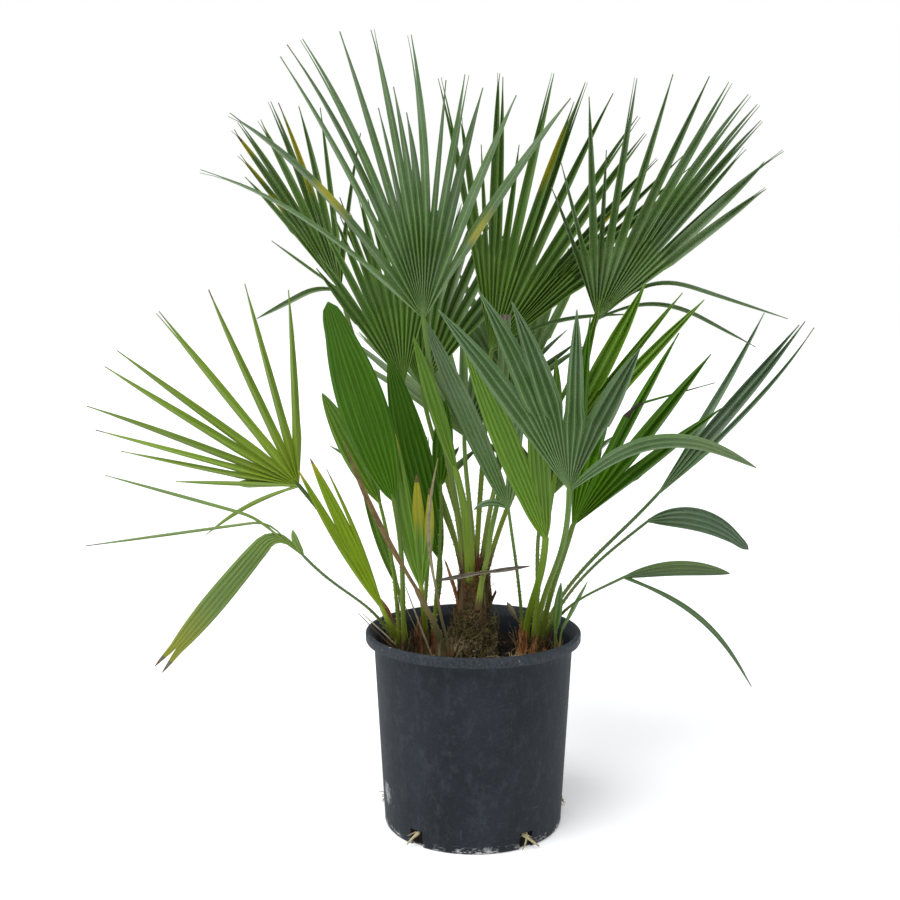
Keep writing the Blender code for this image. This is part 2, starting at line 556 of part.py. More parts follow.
def make_pot(plant, cutters, material):
    """A tapered tub with a rolled lip and drainage notches at its foot."""
    lip = POT_HEIGHT - LIP_HEIGHT
    profile = [
        (0, WALL),
        (wall_radius(WALL) - WALL, WALL),
        (wall_radius(lip) - WALL, lip),
        (RIM_RADIUS - 0.006, POT_HEIGHT - 0.006),
        (RIM_RADIUS - 0.005, POT_HEIGHT - 0.001),
        (RIM_RADIUS - 0.003, POT_HEIGHT),
        (RIM_RADIUS - 0.001, POT_HEIGHT - 0.001),
        (RIM_RADIUS, POT_HEIGHT - 0.003),
        (RIM_RADIUS - 0.001, lip),
        (wall_radius(lip) + 0.001, lip - 0.001),
        (wall_radius(lip - 0.004), lip - 0.004),
        (BASE_RADIUS + 0.0005, 0.002),
        (BASE_RADIUS - 0.0015, 0),
        (0, 0),
    ]
    pot = turned("pot", profile, plant)
    for number in range(NOTCHES):
        turn = math.radians(FIRST_NOTCH + number * 360 / NOTCHES)
        bpy.ops.mesh.primitive_cube_add(size=1)
        cutter = bpy.context.active_object
        cutter.name = "notch_cutter_%d" % (number + 1)
        for owner in list(cutter.users_collection):
            owner.objects.unlink(cutter)
        cutters.objects.link(cutter)
        cutter.scale = (NOTCH_WIDTH, NOTCH_DEPTH, NOTCH_HEIGHT * 2)
        cutter.rotation_euler = (0, 0, turn)
        cutter.location = (BASE_RADIUS * math.sin(turn), -BASE_RADIUS * math.cos(turn), 0)
        cutter.hide_render = True
        cutter.display_type = "WIRE"
    cut = pot.modifiers.new("notches", "BOOLEAN")
    cut.operation = "DIFFERENCE"
    cut.operand_type = "COLLECTION"
    cut.collection = cutters
    pot.data.materials.append(material)
    return pot


def make_soil(plant, material):
    """The soil that fills the pot to a little below its rim."""
    inside = WALL + GAP * 1.5
    profile = [
        (0, SOIL_TOP),
        (wall_radius(SOIL_TOP) - inside, SOIL_TOP),
        (wall_radius(WALL + GAP) - inside, WALL + GAP),
        (0, WALL + GAP),
    ]
    soil = turned("soil", profile, plant)
    soil.data.materials.append(material)
    return soil


def make_drain_roots(plant, material):
    """Root ends that have grown out of the drainage notches."""
    for number, (notch, aside, reach, drop) in enumerate(DRAIN_ROOTS):
        turn = math.radians(FIRST_NOTCH + notch * 360 / NOTCHES)
        points, radii = [], []
        for station in range(ROOT_STATIONS + 1):
            share = station / ROOT_STATIONS
            out = BASE_RADIUS + reach * share
            along = aside * (0.4 + 0.6 * share ** 2)
            points.append((out * math.sin(turn) + along * math.cos(turn),
                           -out * math.cos(turn) + along * math.sin(turn),
                           ROOT_LEVEL - drop * smooth_step(share)))
            radii.append(ROOT_RADIUS * (1 - 0.5 * share))
        root = tube("drain_root_%d" % (number + 1), points, radii, plant)
        root.data.materials.clear()
        root.data.materials.append(material)


def main():
    for thing in list(bpy.data.objects):
        bpy.data.objects.remove(thing)
    plant = bpy.data.collections.new("potted_fan_palm")
    cutters = bpy.data.collections.new("cutters")
    pieces = bpy.data.collections.new("pieces")
    for collection in (plant, cutters, pieces):
        bpy.context.scene.collection.children.link(collection)
    materials = {name: plain_material(name, colour, roughness)
                 for name, (colour, roughness) in COLOURS.items()}
    make_pot(plant, cutters, materials["pot_plastic"])
    make_soil(plant, materials["soil"])
    make_drain_roots(plant, materials["root"])
    for name, crown in CROWNS.items():
        make_crown(name, crown, plant, materials["bark"])
    for frond in FRONDS:
        make_frond(frond, plant, pieces, materials)


main()
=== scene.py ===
"""A potted fan palm as it looks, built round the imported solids.

Lengths are in metres with +Z up, and the plant is seen from the front along
+Y. Every solid is replaced by finer pieces, which follow the same rule from
the same named sizes: pleated blades with split tips, stalks with thorns, stems
with old sheaths and fibres, loose soil, and a pot with a rolled lip.
"""

import math
import random
from dataclasses import dataclass, field

import bmesh
import bpy
import numpy as np
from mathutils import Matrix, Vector, noise


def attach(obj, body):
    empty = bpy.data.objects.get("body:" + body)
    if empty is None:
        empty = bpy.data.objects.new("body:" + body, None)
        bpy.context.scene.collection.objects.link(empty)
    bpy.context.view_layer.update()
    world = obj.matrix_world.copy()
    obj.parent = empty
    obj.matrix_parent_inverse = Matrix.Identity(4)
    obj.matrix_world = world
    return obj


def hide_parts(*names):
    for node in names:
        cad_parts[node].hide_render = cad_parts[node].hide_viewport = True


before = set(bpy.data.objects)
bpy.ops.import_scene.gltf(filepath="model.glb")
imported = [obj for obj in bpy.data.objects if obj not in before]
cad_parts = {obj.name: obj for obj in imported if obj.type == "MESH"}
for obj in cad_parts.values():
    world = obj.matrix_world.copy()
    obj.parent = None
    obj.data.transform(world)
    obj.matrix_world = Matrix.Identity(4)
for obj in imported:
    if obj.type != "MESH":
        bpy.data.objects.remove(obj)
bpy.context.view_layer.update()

# Camera
CAMERA_PLACE = (-0.0324, -1.603, 0.695)
CAMERA_PITCH = 83.9
LENS = 46.9
SENSOR = 36

# Pot
RIM_RADIUS = 0.150
LIP_HEIGHT = 0.014
WALL_TOP_RADIUS = 0.1385
BASE_RADIUS = 0.124
POT_HEIGHT = 0.273
WALL = 0.003
NOTCHES = 5
FIRST_NOTCH = -38.4
NOTCH_WIDTH = 0.021
NOTCH_HEIGHT = 0.023
NOTCH_DEPTH = 0.012
POT_STEPS = 180
POT_UNEVEN = 0.002
ROLL_RADIUS = 0.0035
FOOT_RADIUS = 0.004
SCUFF_PLACE = (-0.118, -0.047, 0.053)

# Soil
SOIL_TOP = 0.235
SOIL_GAP = 0.0005
SOIL_RINGS = 44
SOIL_STEPS = 120
SOIL_LUMPS = ((0.0022, 45), (0.0012, 160), (0.0006, 420))
CRUMBS = 1700
CRUMB_SIZE = (0.0007, 0.0030)
STRAND_RISE = 0.010
STRAND_ROWS = 9
STRANDS = 70
FRONT_STRANDS = 60
FRONT_STRANDS_AT = (0.052, -0.050)
FRONT_STRANDS_SPREAD = 0.016

# Blades
HUB_RADIUS = 0.007
HUB_START = 0.35
BASE_SPREAD = 70
TIP_WIDTH = 0.0011
LINE_STEPS = 20
BLADE_THICKNESS = 0.0005
JOINED_ROWS = 8
PARTED_DEEPER = 0.86
PARTING_WIDTH = 1.25
PARTING_STEP = 1.09
POINTED_TAPER = 2.3
SPLIT_TAPER = 3.6
FREE_ROWS = 16
FREE_BOB = 0.02
DOUBLE_PARTING = (0.64, 0.76)
SPLIT_PARTING = (0.84, 0.94)
SPLIT_GAP = (0.0010, 0.0024)
LOBE_ROWS = 30
LOBE_PARTING = 0.86
LOBE_GAP = 0.16
LOBE_CUP = 0.05
PLEAT_WIDTH = 0.0075
FOLD_NEAR_HUB = 0.95
FOLD_AT_PARTING = 0.60
DEEPEST_FOLD = 0.0065
SHARP_ANGLE = 50
NOTCH_SHARP_ANGLE = 40

# One pleat of a blade: place across it, fold from -1 in a valley to 1 on a ridge, and pale midrib colour,
# partly the veins' own colour and partly painted highlight
PLEAT = ((0.0, 1.0, 0.7), (0.06, 0.80, 0.0), (0.25, 0.05, 0.0), (0.46, -0.86, 0.0),
         (0.5, -1.0, 1.0), (0.54, -0.86, 0.0), (0.75, 0.05, 0.0), (0.94, 0.80, 0.0))

# Stalks
GAP = 0.0003
STALK_STATIONS = 22
STALK_PULL = 0.4
STALK_STRAIGHT = 0.6
STALK_UPRIGHT = 0.004
STALK_INTO_BLADE = 0.010
STALK_INTO_SOIL = 0.003
STALK_FOOT_INWARD = 0.75
BASE_OUTWARD = 0.22
BASE_BELOW_TOP = 0.050
STALK_COLUMNS = 10
SHEATH_HEIGHT = 0.045
SHEATH_FLARE = 0.30
THORN_SPACING = 0.0085
THORN_LENGTH = 0.0038
THORN_WIDTH = 0.22
SHORTEST_THORNY_STALK = 0.12

# Root ends out of the drainage notches: notch, sideways reach and outward reach
DRAIN_ROOTS = ((0, -0.005, 0.013), (1, -0.006, 0.010), (1, 0.008, 0.014), (2, 0.004, 0.020),
               (2, -0.004, 0.016), (4, -0.004, 0.020), (4, 0.004, 0.016))
ROOT_RADIUS = 0.0027
ROOT_LEVEL = 0.0195
ROOT_END = 0.0035
ROOT_STATIONS = 12
ROOT_COLUMNS = 8
ROOT_START = 0.004
LOWEST_ROOTLET = 0.0008
ROOT_SPREAD = 2.2
# Rootlets of each root end: how many, how much longer and thicker than usual, how far they point down
ROOTLETS_IN_FRONT = (3, 1.0, 1.0, 0.0)
ROOTLETS_AT_SIDES = (16, 0.95, 2.4, 0.40)

# Stems
TRUNK_SHEATHS = 34
TRUNK_FIBRES = 2700
TANGLE_FIBRES = 420
LOOSE_FIBRES = 260
TUFT_FIBRES = 70
NECK_NARROWER = 0.80
SUCKER_TUFTS = 9
SUCKER_TUFT_FIBRES = 14
GOLDEN_TURN = math.radians(137.5)
SHEATH_THICKNESS = 0.0007
SHEATH_COLUMNS = 10
SHEATH_ROWS = 7
SHEATH_WAVE = 0.0012
LOWEST_FIBRE = SOIL_TOP + 0.0015
FIBRE_RADIUS = (0.00018, 0.00050)
DOME_INSETS = (0.6, 0.25)

# The width of a stem between its foot and its top, by the share of its height
STEM_SWELL = ((0, 1.0), (0.10, 0.90), (0.30, 0.45), (0.60, 0.12), (0.9, 0.0), (1, 0.0))

# Stubs of old stalks on the trunk: share of its height, turn from the front, size, finish and opening
TRUNK_STUBS = (
    (0.55, -78, (0.015, 0.078), "dry_orange", 0.24), (0.62, -50, (0.014, 0.046), "sheath_brown", 0.02),
    (0.66, -24, (0.014, 0.044), "dry_orange", -0.05), (0.72, -4, (0.012, 0.046), "sheath_red", -0.06),
    (0.60, 62, (0.018, 0.038), "sheath_brown", 0.02), (0.72, 30, (0.012, 0.036), "sheath_dark", -0.05),
    (0.50, 84, (0.014, 0.040), "sheath_dark", 0.30), (0.66, 120, (0.016, 0.046), "sheath_brown", 0),
    (0.62, 165, (0.016, 0.050), "dry_orange", 0.05), (0.66, 215, (0.016, 0.044), "sheath_dark", 0),
    (0.60, 262, (0.016, 0.044), "sheath_brown", 0.02))

# Tufts of straight fibres between the stalks: turn from the front, share of the height and finish
TRUNK_TUFTS = ((-8, 1.00, "red"), (-14, 0.96, "red"), (-46, 0.92, "brown"), (20, 0.92, "dark"),
               (48, 0.88, "dark"), (75, 0.86, "tan"), (-80, 0.88, "brown"), (130, 0.94, "brown"),
               (175, 0.94, "dark"), (230, 0.92, "brown"))

# Coats of fibres on the trunk, the last one only on its foot: how many, finishes below, finishes above,
# shortest and longest, how far out they reach, and how much they curl
TRUNK_COATS = (
    (TRUNK_FIBRES, ("dark", "olive", "tan", "dark", "brown"), ("dark", "brown", "olive", "olive", "red"),
     (0.012, 0.036), 0.004, 0.45),
    (LOOSE_FIBRES, ("olive", "tan", "brown"), ("dark", "brown", "olive"), (0.018, 0.040), 0.010, 0.8),
    (TANGLE_FIBRES, ("olive", "tan", "pale"), ("olive", "dark"), (0.020, 0.050), 0.004, 0.6))

# Side shoots: the finishes of their sheaths, how many, and how much taller than usual
SUCKER_SHEATHS = (("sucker_left", ("sheath_dark", "sheath_brown", "dry_brown"), 12, 1.25),
                  ("sucker_middle", ("sheath_red", "dry_brown", "sheath_red", "dry_orange"), 14, 1.8),
                  ("sucker_dry", ("sheath_brown", "dry_grey"), 4, 1.0),
                  ("sucker_right", ("dry_brown", "dry_orange", "sheath_brown", "dry_brown"), 14, 1.5),
                  ("sucker_small", ("sheath_dark", "sheath_brown"), 3, 1.0))

# Thin dry sticks on one side shoot: foot, tip, radius and finish
STICK_OWNER = "sucker_left"
DRY_STICKS = (((-0.0980, -0.030, 0.237), (-0.1035, -0.032, 0.338), 0.0017, "fibre_brown"),
              ((-0.0570, -0.018, 0.237), (-0.0966, -0.030, 0.338), 0.0022, "fibre_pale"),
              ((-0.0620, -0.012, 0.237), (-0.1005, -0.026, 0.325), 0.0016, "fibre_tan"),
              ((-0.0880, -0.034, 0.238), (-0.1502, -0.040, 0.306), 0.0020, "fibre_pale"),
              ((-0.0930, -0.038, 0.238), (-0.1560, -0.050, 0.308), 0.0016, "fibre_brown"))

# Studio, with lights by the way to them, their strength and the angle they span
FLOOR_HALF = 60
FLOOR_GLOW = 0.22
WHITE = (1, 1, 1, 1)
SKY_COLOUR = (0.93, 0.96, 1.0, 1)
SKY_STRENGTH = 0.50
SUNS = (("key_light", (-0.50, -0.45, 1.0), 2.7, 50), ("fill_light", (0.9, -0.8, 0.6), 0.5, 60))


@dataclass
class Crown:
    """A stem that stalks stand on: its foot, its top and their radii."""
    foot: tuple
    top: tuple
    foot_radius: float
    top_radius: float


@dataclass
class Ray:
    """One segment of a fan: angle at the hub, length, bend, share of the usual width, and lift."""
    angle: float
    length: float
    bend: float
    width: float = 1.0
    lift: float = 0.0


@dataclass
class Fan:
    """Segments side by side, with angles in degrees from upright, right positive."""
    start: float
    end: float
    count: int
    length: float
    left: float = 0.85
    right: float = 0.85
    joined: float = 0.42
    droop: float = 6
    cup: float = 0.10
    widest: float = 0.03


@dataclass
class Lobe:
    """One narrow blade that leaves the hub at an angle and may bend over."""
    angle: float
    length: float
    width: float
    fall: float = None
    fold: float = 0.5
    ease: float = 0.5
    bow: float = 0.0


@dataclass
class Frond:
    """A stalk from a crown to a hub, and the blade on it."""
    name: str
    crown: str
    foot: tuple
    hub: tuple
    lean: float
    arrive: float
    colour: str
    stalk: float = 0.0032
    turn: float = 0
    fan: Fan = None
    lobes: list = field(default_factory=list)


# Segments of the fans whose places are known, from left to right: angle at the hub, length, bend, width
RAYS = {
    "frond_front_left": ((-46.5, 0.337, -31, 0.6), (-34.7, 0.347, -24, 1), (-25.7, 0.361, -6, 0.85),
        (-20.9, 0.37, -14, 0.9), (-17.7, 0.368, -14, 1), (-14, 0.361, -4, 1), (-10.8, 0.266, -2, 0.7),
        (-7.6, 0.355, -5, 0.9), (-4.4, 0.288, -7, 0.9), (-1.2, 0.257, -9, 1), (2, 0.345, -13, 1),
        (5.6, 0.295, 0, 0.7), (10.2, 0.304, 0, 1), (13.8, 0.293, 2, 1.25), (21, 0.298, 4, 1.25),
        (31, 0.325, 9, 1.35)),
    "frond_upper_left": ((-37.4, 0.205, -8, 0.8), (-34.5, 0.237, -7, 0.8), (-31.5, 0.269, -7, 1),
        (-28.5, 0.274, -8, 1), (-23.5, 0.264, -6, 1.1), (-19, 0.286, -5, 1), (-16, 0.28, -7, 1),
        (-11.4, 0.265, -4, 1.1), (-5.8, 0.261, -2, 0.8), (5.6, 0.22, 6, 0.6)),
    "frond_back_centre": ((-9.2, 0.408, -4, 0.8), (-6.6, 0.347, -2, 0.9), (-2.7, 0.3, 0, 0.6),
        (1, 0.411, 2, 1), (3.2, 0.403, -2, 1), (7.8, 0.31, 0, 0.9), (11.9, 0.43, 2, 1.2), (17, 0.395, 5, 1),
        (19.1, 0.43, 1, 1.1), (23.8, 0.43, 4, 1.2), (30.7, 0.413, 4, 1.1), (33.9, 0.393, 4, 1.1),
        (38.7, 0.381, 5, 1), (40.9, 0.336, -1, 0.7), (43, 0.406, 4, 0.8), (45.2, 0.402, 6, 0.7),
        (47.3, 0.35, 2, 0.9), (49.9, 0.3, 4, 0.9), (53.3, 0.266, 3, 0.9)),
    "frond_upper_right": ((-18.6, 0.191, -5, 0.5), (-12.9, 0.217, -4, 0.55), (-3, 0.3, 0, 1),
        (2.3, 0.231, 1, 0.6), (8.5, 0.33, 0, 0.9), (16.7, 0.346, 0, 1), (23.6, 0.359, 2, 1.2),
        (28.4, 0.366, 2, 1.2), (31.4, 0.368, 8, 1.1), (34.5, 0.364, 7, 1.1), (37.6, 0.344, 5, 1.1),
        (40.7, 0.302, -1, 0.7), (43.8, 0.336, 11, 0.6), (46.9, 0.306, -1, 1.3), (51.1, 0.285, 2, 1.2)),
    "frond_right_front": ((-31.9, 0.28, -9, 1), (-20.2, 0.279, -12, 1.05), (-14, 0.256, -10, 1.05),
        (0.3, 0.234, -2, 0.8), (21.1, 0.197, 6, 1.1)),
    "frond_right": ((4.4, 0.272, 0, 0.9), (15.4, 0.18, 0, 1), (26.7, 0.287, 1, 0.9), (36.6, 0.287, -1, 1.3),
        (48.6, 0.247, 4, 1.1)),
    "frond_right_behind": ((13.5, 0.212, 0, 0.9), (26.8, 0.258, -1, 1.6), (36.3, 0.276, 4, 0.7),
        (42, 0.287, 4, 1.1)),
    "frond_far_right": ((32.9, 0.304, -3, 1), (39.3, 0.315, 4, 1.1), (42.8, 0.322, -6, 1),
        (46.2, 0.313, -13, 0.6)),
    "frond_left": ((-89.9, 0.166, -2, 0.5), (-80.8, 0.244, 4, 0.7), (-74.8, 0.281, 0, 0.8),
        (-68.7, 0.302, -3, 1), (-58.1, 0.3, 0, 1.15), (-52, 0.296, -1, 1.15), (-37.5, 0.292, -1, 1.1),
        (-23.9, 0.283, 1, 1.1), (-13.8, 0.275, 0, 1), (-1.8, 0.259, -1, 1)),
}

CROWNS = {
    "trunk": Crown((-0.004, 0.0), (0.002, 0.0, 0.349), 0.035, 0.0225),
    "sucker_left": Crown((-0.098, -0.022), (-0.101, -0.022, 0.262), 0.020, 0.0165),
    "sucker_middle": Crown((-0.062, -0.002), (-0.063, -0.002, 0.262), 0.017, 0.0140),
    "sucker_dry": Crown((-0.036, -0.062), (-0.038, -0.062, 0.252), 0.012, 0.0105),
    "sucker_right": Crown((0.084, 0.0), (0.085, 0.0, 0.262), 0.023, 0.0205),
    "sucker_small": Crown((0.114, -0.030), (0.115, -0.030, 0.252), 0.009, 0.0080),
}

FRONDS = [
    Frond("frond_front_left", "trunk", (-0.0138, -0.0108), (-0.066, -0.090, 0.702), 16, -6, "grey_green",
          fan=Fan(-57, 34, 20, 0.354, left=0.96, right=0.84)),
    Frond("frond_upper_left", "trunk", (-0.0152, 0.0088), (-0.186, 0.060, 0.742), -6, -12, "mid_green",
          stalk=0.0028, fan=Fan(-44, 14, 13, 0.284, left=0.80, right=0.62, joined=0.40),
          lobes=[Lobe(-78, 0.128, 0.008, fall=-118, fold=0.25, ease=0.25), Lobe(-54, 0.120, 0.004)]),
    Frond("frond_behind_left", "trunk", (-0.0175, 0.0), (-0.096, 0.005, 0.613), -2, -14, "mid_green",
          stalk=0.0030, fan=Fan(-38, 17, 12, 0.270, left=0.72, right=0.60, joined=0.44)),
    Frond("frond_back_centre", "trunk", (0.002, 0.007), (0.027, 0.100, 0.656), -12, 4, "deep_green",
          fan=Fan(-12, 58, 22, 0.425, left=0.98, right=0.92, joined=0.40),
          lobes=[Lobe(55, 0.215, 0.006, fall=88, fold=0.4)]),
    Frond("frond_upper_right", "trunk", (0.0169, 0.0045), (0.172, 0.040, 0.703), 0, 20, "deep_green",
          stalk=0.0030, fan=Fan(-18, 54, 19, 0.360, left=0.60, right=0.88, joined=0.36),
          lobes=[Lobe(52, 0.288, 0.006, fall=108, fold=0.33, ease=0.22),
                 Lobe(66, 0.240, 0.006, fall=118, fold=0.35, ease=0.35)]),
    Frond("frond_right_front", "sucker_right", (0.002, -0.0145), (0.114, -0.175, 0.492), 20, -2, "grey_green",
          stalk=0.0034, fan=Fan(-38, 30, 7, 0.275, left=1.04, right=0.74, joined=0.45),
          lobes=[Lobe(46, 0.255, 0.020, fall=118, fold=0.5, ease=0.45)]),
    Frond("frond_right", "sucker_right", (0.0105, -0.0095), (0.130, -0.070, 0.430), 8, 14, "deep_green",
          stalk=0.0034, fan=Fan(12, 56, 7, 0.285, left=0.80, right=0.94, joined=0.40),
          lobes=[Lobe(24, 0.285, 0.010, fall=74, fold=0.62, ease=0.08)]),
    Frond("frond_right_behind", "sucker_right", (0.000, 0.0035), (0.118, 0.010, 0.520), -2, 8, "bright_green",
          stalk=0.0028, fan=Fan(20, 48, 5, 0.285, left=0.88, right=1.0, joined=0.48),
          lobes=[Lobe(-2, 0.130, 0.014)]),
    Frond("frond_far_right", "sucker_right", (0.0125, 0.010), (0.263, 0.050, 0.455), -4, 44, "grey_green",
          stalk=0.0024, turn=8, fan=Fan(27, 43, 4, 0.320, left=0.92, right=1.0, joined=0.30)),
    Frond("leaf_right_arching", "sucker_right", (0.0165, 0.0035), (0.242, 0.000, 0.425), -4, 52, "deep_green",
          stalk=0.0020, lobes=[Lobe(80, 0.152, 0.032, fall=132)]),
    Frond("leaf_right_low", "sucker_right", (0.0175, -0.0035), (0.199, -0.070, 0.361), 4, 64, "deep_green",
          stalk=0.0020, lobes=[Lobe(78, 0.142, 0.030, fall=98), Lobe(112, 0.240, 0.007, fall=150)]),
    Frond("frond_left", "sucker_left", (-0.010, 0.003), (-0.234, -0.050, 0.481), 5, -38, "yellow_green",
          stalk=0.0028, fan=Fan(-84, 2, 10, 0.300, left=0.84, right=0.87, joined=0.27),
          lobes=[Lobe(-88, 0.165, 0.006), Lobe(-108, 0.145, 0.006, fall=-128)]),
    Frond("leaf_left_hanging", "sucker_left", (-0.0115, -0.005), (-0.222, -0.095, 0.393), 4, -42, "mid_green",
          stalk=0.0020, lobes=[Lobe(-45, 0.290, 0.038, fall=-140, fold=0.16, ease=0.09),
                               Lobe(-50, 0.282, 0.006, fall=-74, fold=0.3, ease=0.1),
                               Lobe(-45, 0.305, 0.005, fall=-98, fold=0.22, ease=0.08),
                               Lobe(-35, 0.040, 0.012, fall=-10)]),
    Frond("leaf_left_broad", "sucker_left", (0.0055, -0.0115), (-0.106, -0.085, 0.466), 8, -10, "deep_green",
          stalk=0.0030, lobes=[Lobe(-17, 0.272, 0.062)]),
    Frond("leaf_left_narrow", "sucker_left", (-0.001, -0.001), (-0.127, -0.045, 0.458), 2, -14,
          "bright_green", stalk=0.0022, lobes=[Lobe(-27, 0.165, 0.032)]),
    Frond("leaf_left_young", "sucker_left", (-0.004, -0.0120), (-0.122, -0.065, 0.315), 4, -22,
          "yellow_green", stalk=0.0030,
          lobes=[Lobe(-24.5, 0.226, 0.022, bow=0.02), Lobe(-32, 0.220, 0.016, fall=-27.5),
                 Lobe(-17, 0.206, 0.007, fall=-24)]),
    Frond("leaf_left_short", "sucker_left", (0.0075, 0.006), (-0.106, 0.012, 0.330), -2, -14, "bright_green",
          stalk=0.0024, lobes=[Lobe(-19, 0.150, 0.016)]),
    Frond("leaf_middle_young", "sucker_middle", (-0.003, -0.008), (-0.071, -0.060, 0.345), 6, -3,
          "yellow_green", stalk=0.0032, lobes=[Lobe(-14, 0.226, 0.026, fall=-5), Lobe(-2, 0.155, 0.018),
                               Lobe(10, 0.138, 0.014, fall=0)]),
    Frond("leaf_middle_dark", "sucker_middle", (0.007, -0.001), (-0.046, -0.010, 0.374), 0, -4, "deep_green",
          stalk=0.0028, lobes=[Lobe(-14, 0.286, 0.048)]),
    Frond("leaf_middle_small", "sucker_middle", (0.0085, -0.0085), (-0.045, -0.026, 0.479), 0, -2,
          "deep_green", stalk=0.0020, lobes=[Lobe(3, 0.115, 0.028)]),
    Frond("leaf_trunk_narrow", "trunk", (0.000, -0.0175), (-0.024, -0.062, 0.500), 8, -14, "bright_green",
          stalk=0.0024, lobes=[Lobe(-17, 0.190, 0.020)]),
    Frond("spear_leaf", "trunk", (0.0045, -0.0085), (0.034, -0.020, 0.490), 0, -4, "mid_green",
          stalk=0.0032, lobes=[Lobe(2, 0.235, 0.016)]),
    Frond("frond_centre", "sucker_right", (-0.0155, 0.002), (0.046, -0.042, 0.450), 2, -8, "grey_green",
          stalk=0.0020, lobes=[Lobe(-24, 0.275, 0.036), Lobe(6, 0.200, 0.022),
                               Lobe(-62, 0.050, 0.012, fall=-125)]),
    Frond("leaf_front_two_lobed", "sucker_right", (-0.012, -0.008), (0.092, -0.098, 0.418), 12, 2,
          "bright_green", stalk=0.0044, lobes=[Lobe(-22, 0.292, 0.044), Lobe(-6, 0.200, 0.036)]),
    Frond("frond_rear_left", "trunk", (-0.0088, 0.0152), (-0.075, 0.140, 0.600), -24, -6, "deep_green",
          turn=14, fan=Fan(-24, 44, 13, 0.330)),
    Frond("frond_rear_right", "trunk", (0.0088, 0.0152), (0.070, 0.190, 0.575), -38, 6, "mid_green",
          turn=-14, fan=Fan(-44, 18, 12, 0.340)),
    Frond("frond_rear_centre", "trunk", (0.000, 0.0175), (-0.010, 0.230, 0.520), -56, 0, "mid_green",
          fan=Fan(-46, 46, 17, 0.350)),
    Frond("frond_rear_low_left", "sucker_middle", (-0.005, 0.009), (-0.078, 0.150, 0.420), -66, 0,
          "mid_green", stalk=0.0026, turn=20, fan=Fan(-32, 46, 10, 0.240)),
    Frond("frond_rear_low_right", "sucker_right", (0.005, 0.0145), (0.115, 0.160, 0.430), -66, 0,
          "deep_green", stalk=0.0026, turn=-20, fan=Fan(-46, 24, 10, 0.250)),
    Frond("leaf_right_small", "sucker_small", (-0.0025, -0.001), (0.112, -0.034, 0.275), 4, 4, "deep_green",
          stalk=0.0016, lobes=[Lobe(5, 0.072, 0.012)]),
    Frond("leaf_right_thin", "sucker_small", (0.0035, 0.001), (0.122, -0.030, 0.280), 4, 20, "mid_green",
          stalk=0.0014, lobes=[Lobe(26, 0.075, 0.006)]),
    Frond("dry_leaf_long", "sucker_dry", (-0.003, 0.003), (-0.074, -0.108, 0.350), 6, -24, "dry_brown",
          stalk=0.0032, lobes=[Lobe(-30, 0.220, 0.0075, fall=-20)]),
    Frond("dry_leaf_pale", "sucker_dry", (0.004, -0.002), (-0.048, -0.085, 0.335), 2, -6, "dry_pale",
          stalk=0.0018, lobes=[Lobe(-12, 0.190, 0.0045, fall=12)]),
    Frond("dry_leaf_across", "trunk", (0.0100, -0.0150), (0.012, -0.036, 0.360), 0, 0, "dry_grey",
          stalk=0.0020, lobes=[Lobe(82, 0.066, 0.006), Lobe(-100, 0.066, 0.006)]),
    Frond("dry_stub_right", "sucker_right", (-0.0085, 0.0125), (0.060, 0.012, 0.285), 4, -30, "dry_pale",
          stalk=0.0018, lobes=[Lobe(-28, 0.026, 0.008)]),
    Frond("dry_stub_left", "sucker_left", (-0.002, 0.010), (-0.112, -0.006, 0.285), 0, -20, "dry_orange",
          stalk=0.0024, lobes=[Lobe(-30, 0.040, 0.009)]),
]



@dataclass
class Look:
    """How a blade differs from a plain one.

    Patches give segment, start, end and finish. Aged spots give segment, start, end and side.
    Lobes count from FIRST_LOBE. Rolls and slim are tables of a share of the length and a value.
    """
    split: float = 0.25
    dry: float = 0.10
    twist: float = 22
    widest: float = 0.0150
    pleats: int = 1
    double: tuple = ()
    patches: tuple = ()
    aged: tuple = ()
    tip: str = "point"
    rolls: tuple = ()
    thorns: bool = True
    green: str = ""
    path: tuple = ()
    stalk: float = 1.0
    flare: float = 1.2
    ends: float = 1.0
    age: float = 1.0
    slim: tuple = ((0, 1), (1, 1))
    stem: str = ""


def sound(**changes):
    """The look of a blade without split or dry tips."""
    return Look(split=0, dry=0, **changes)


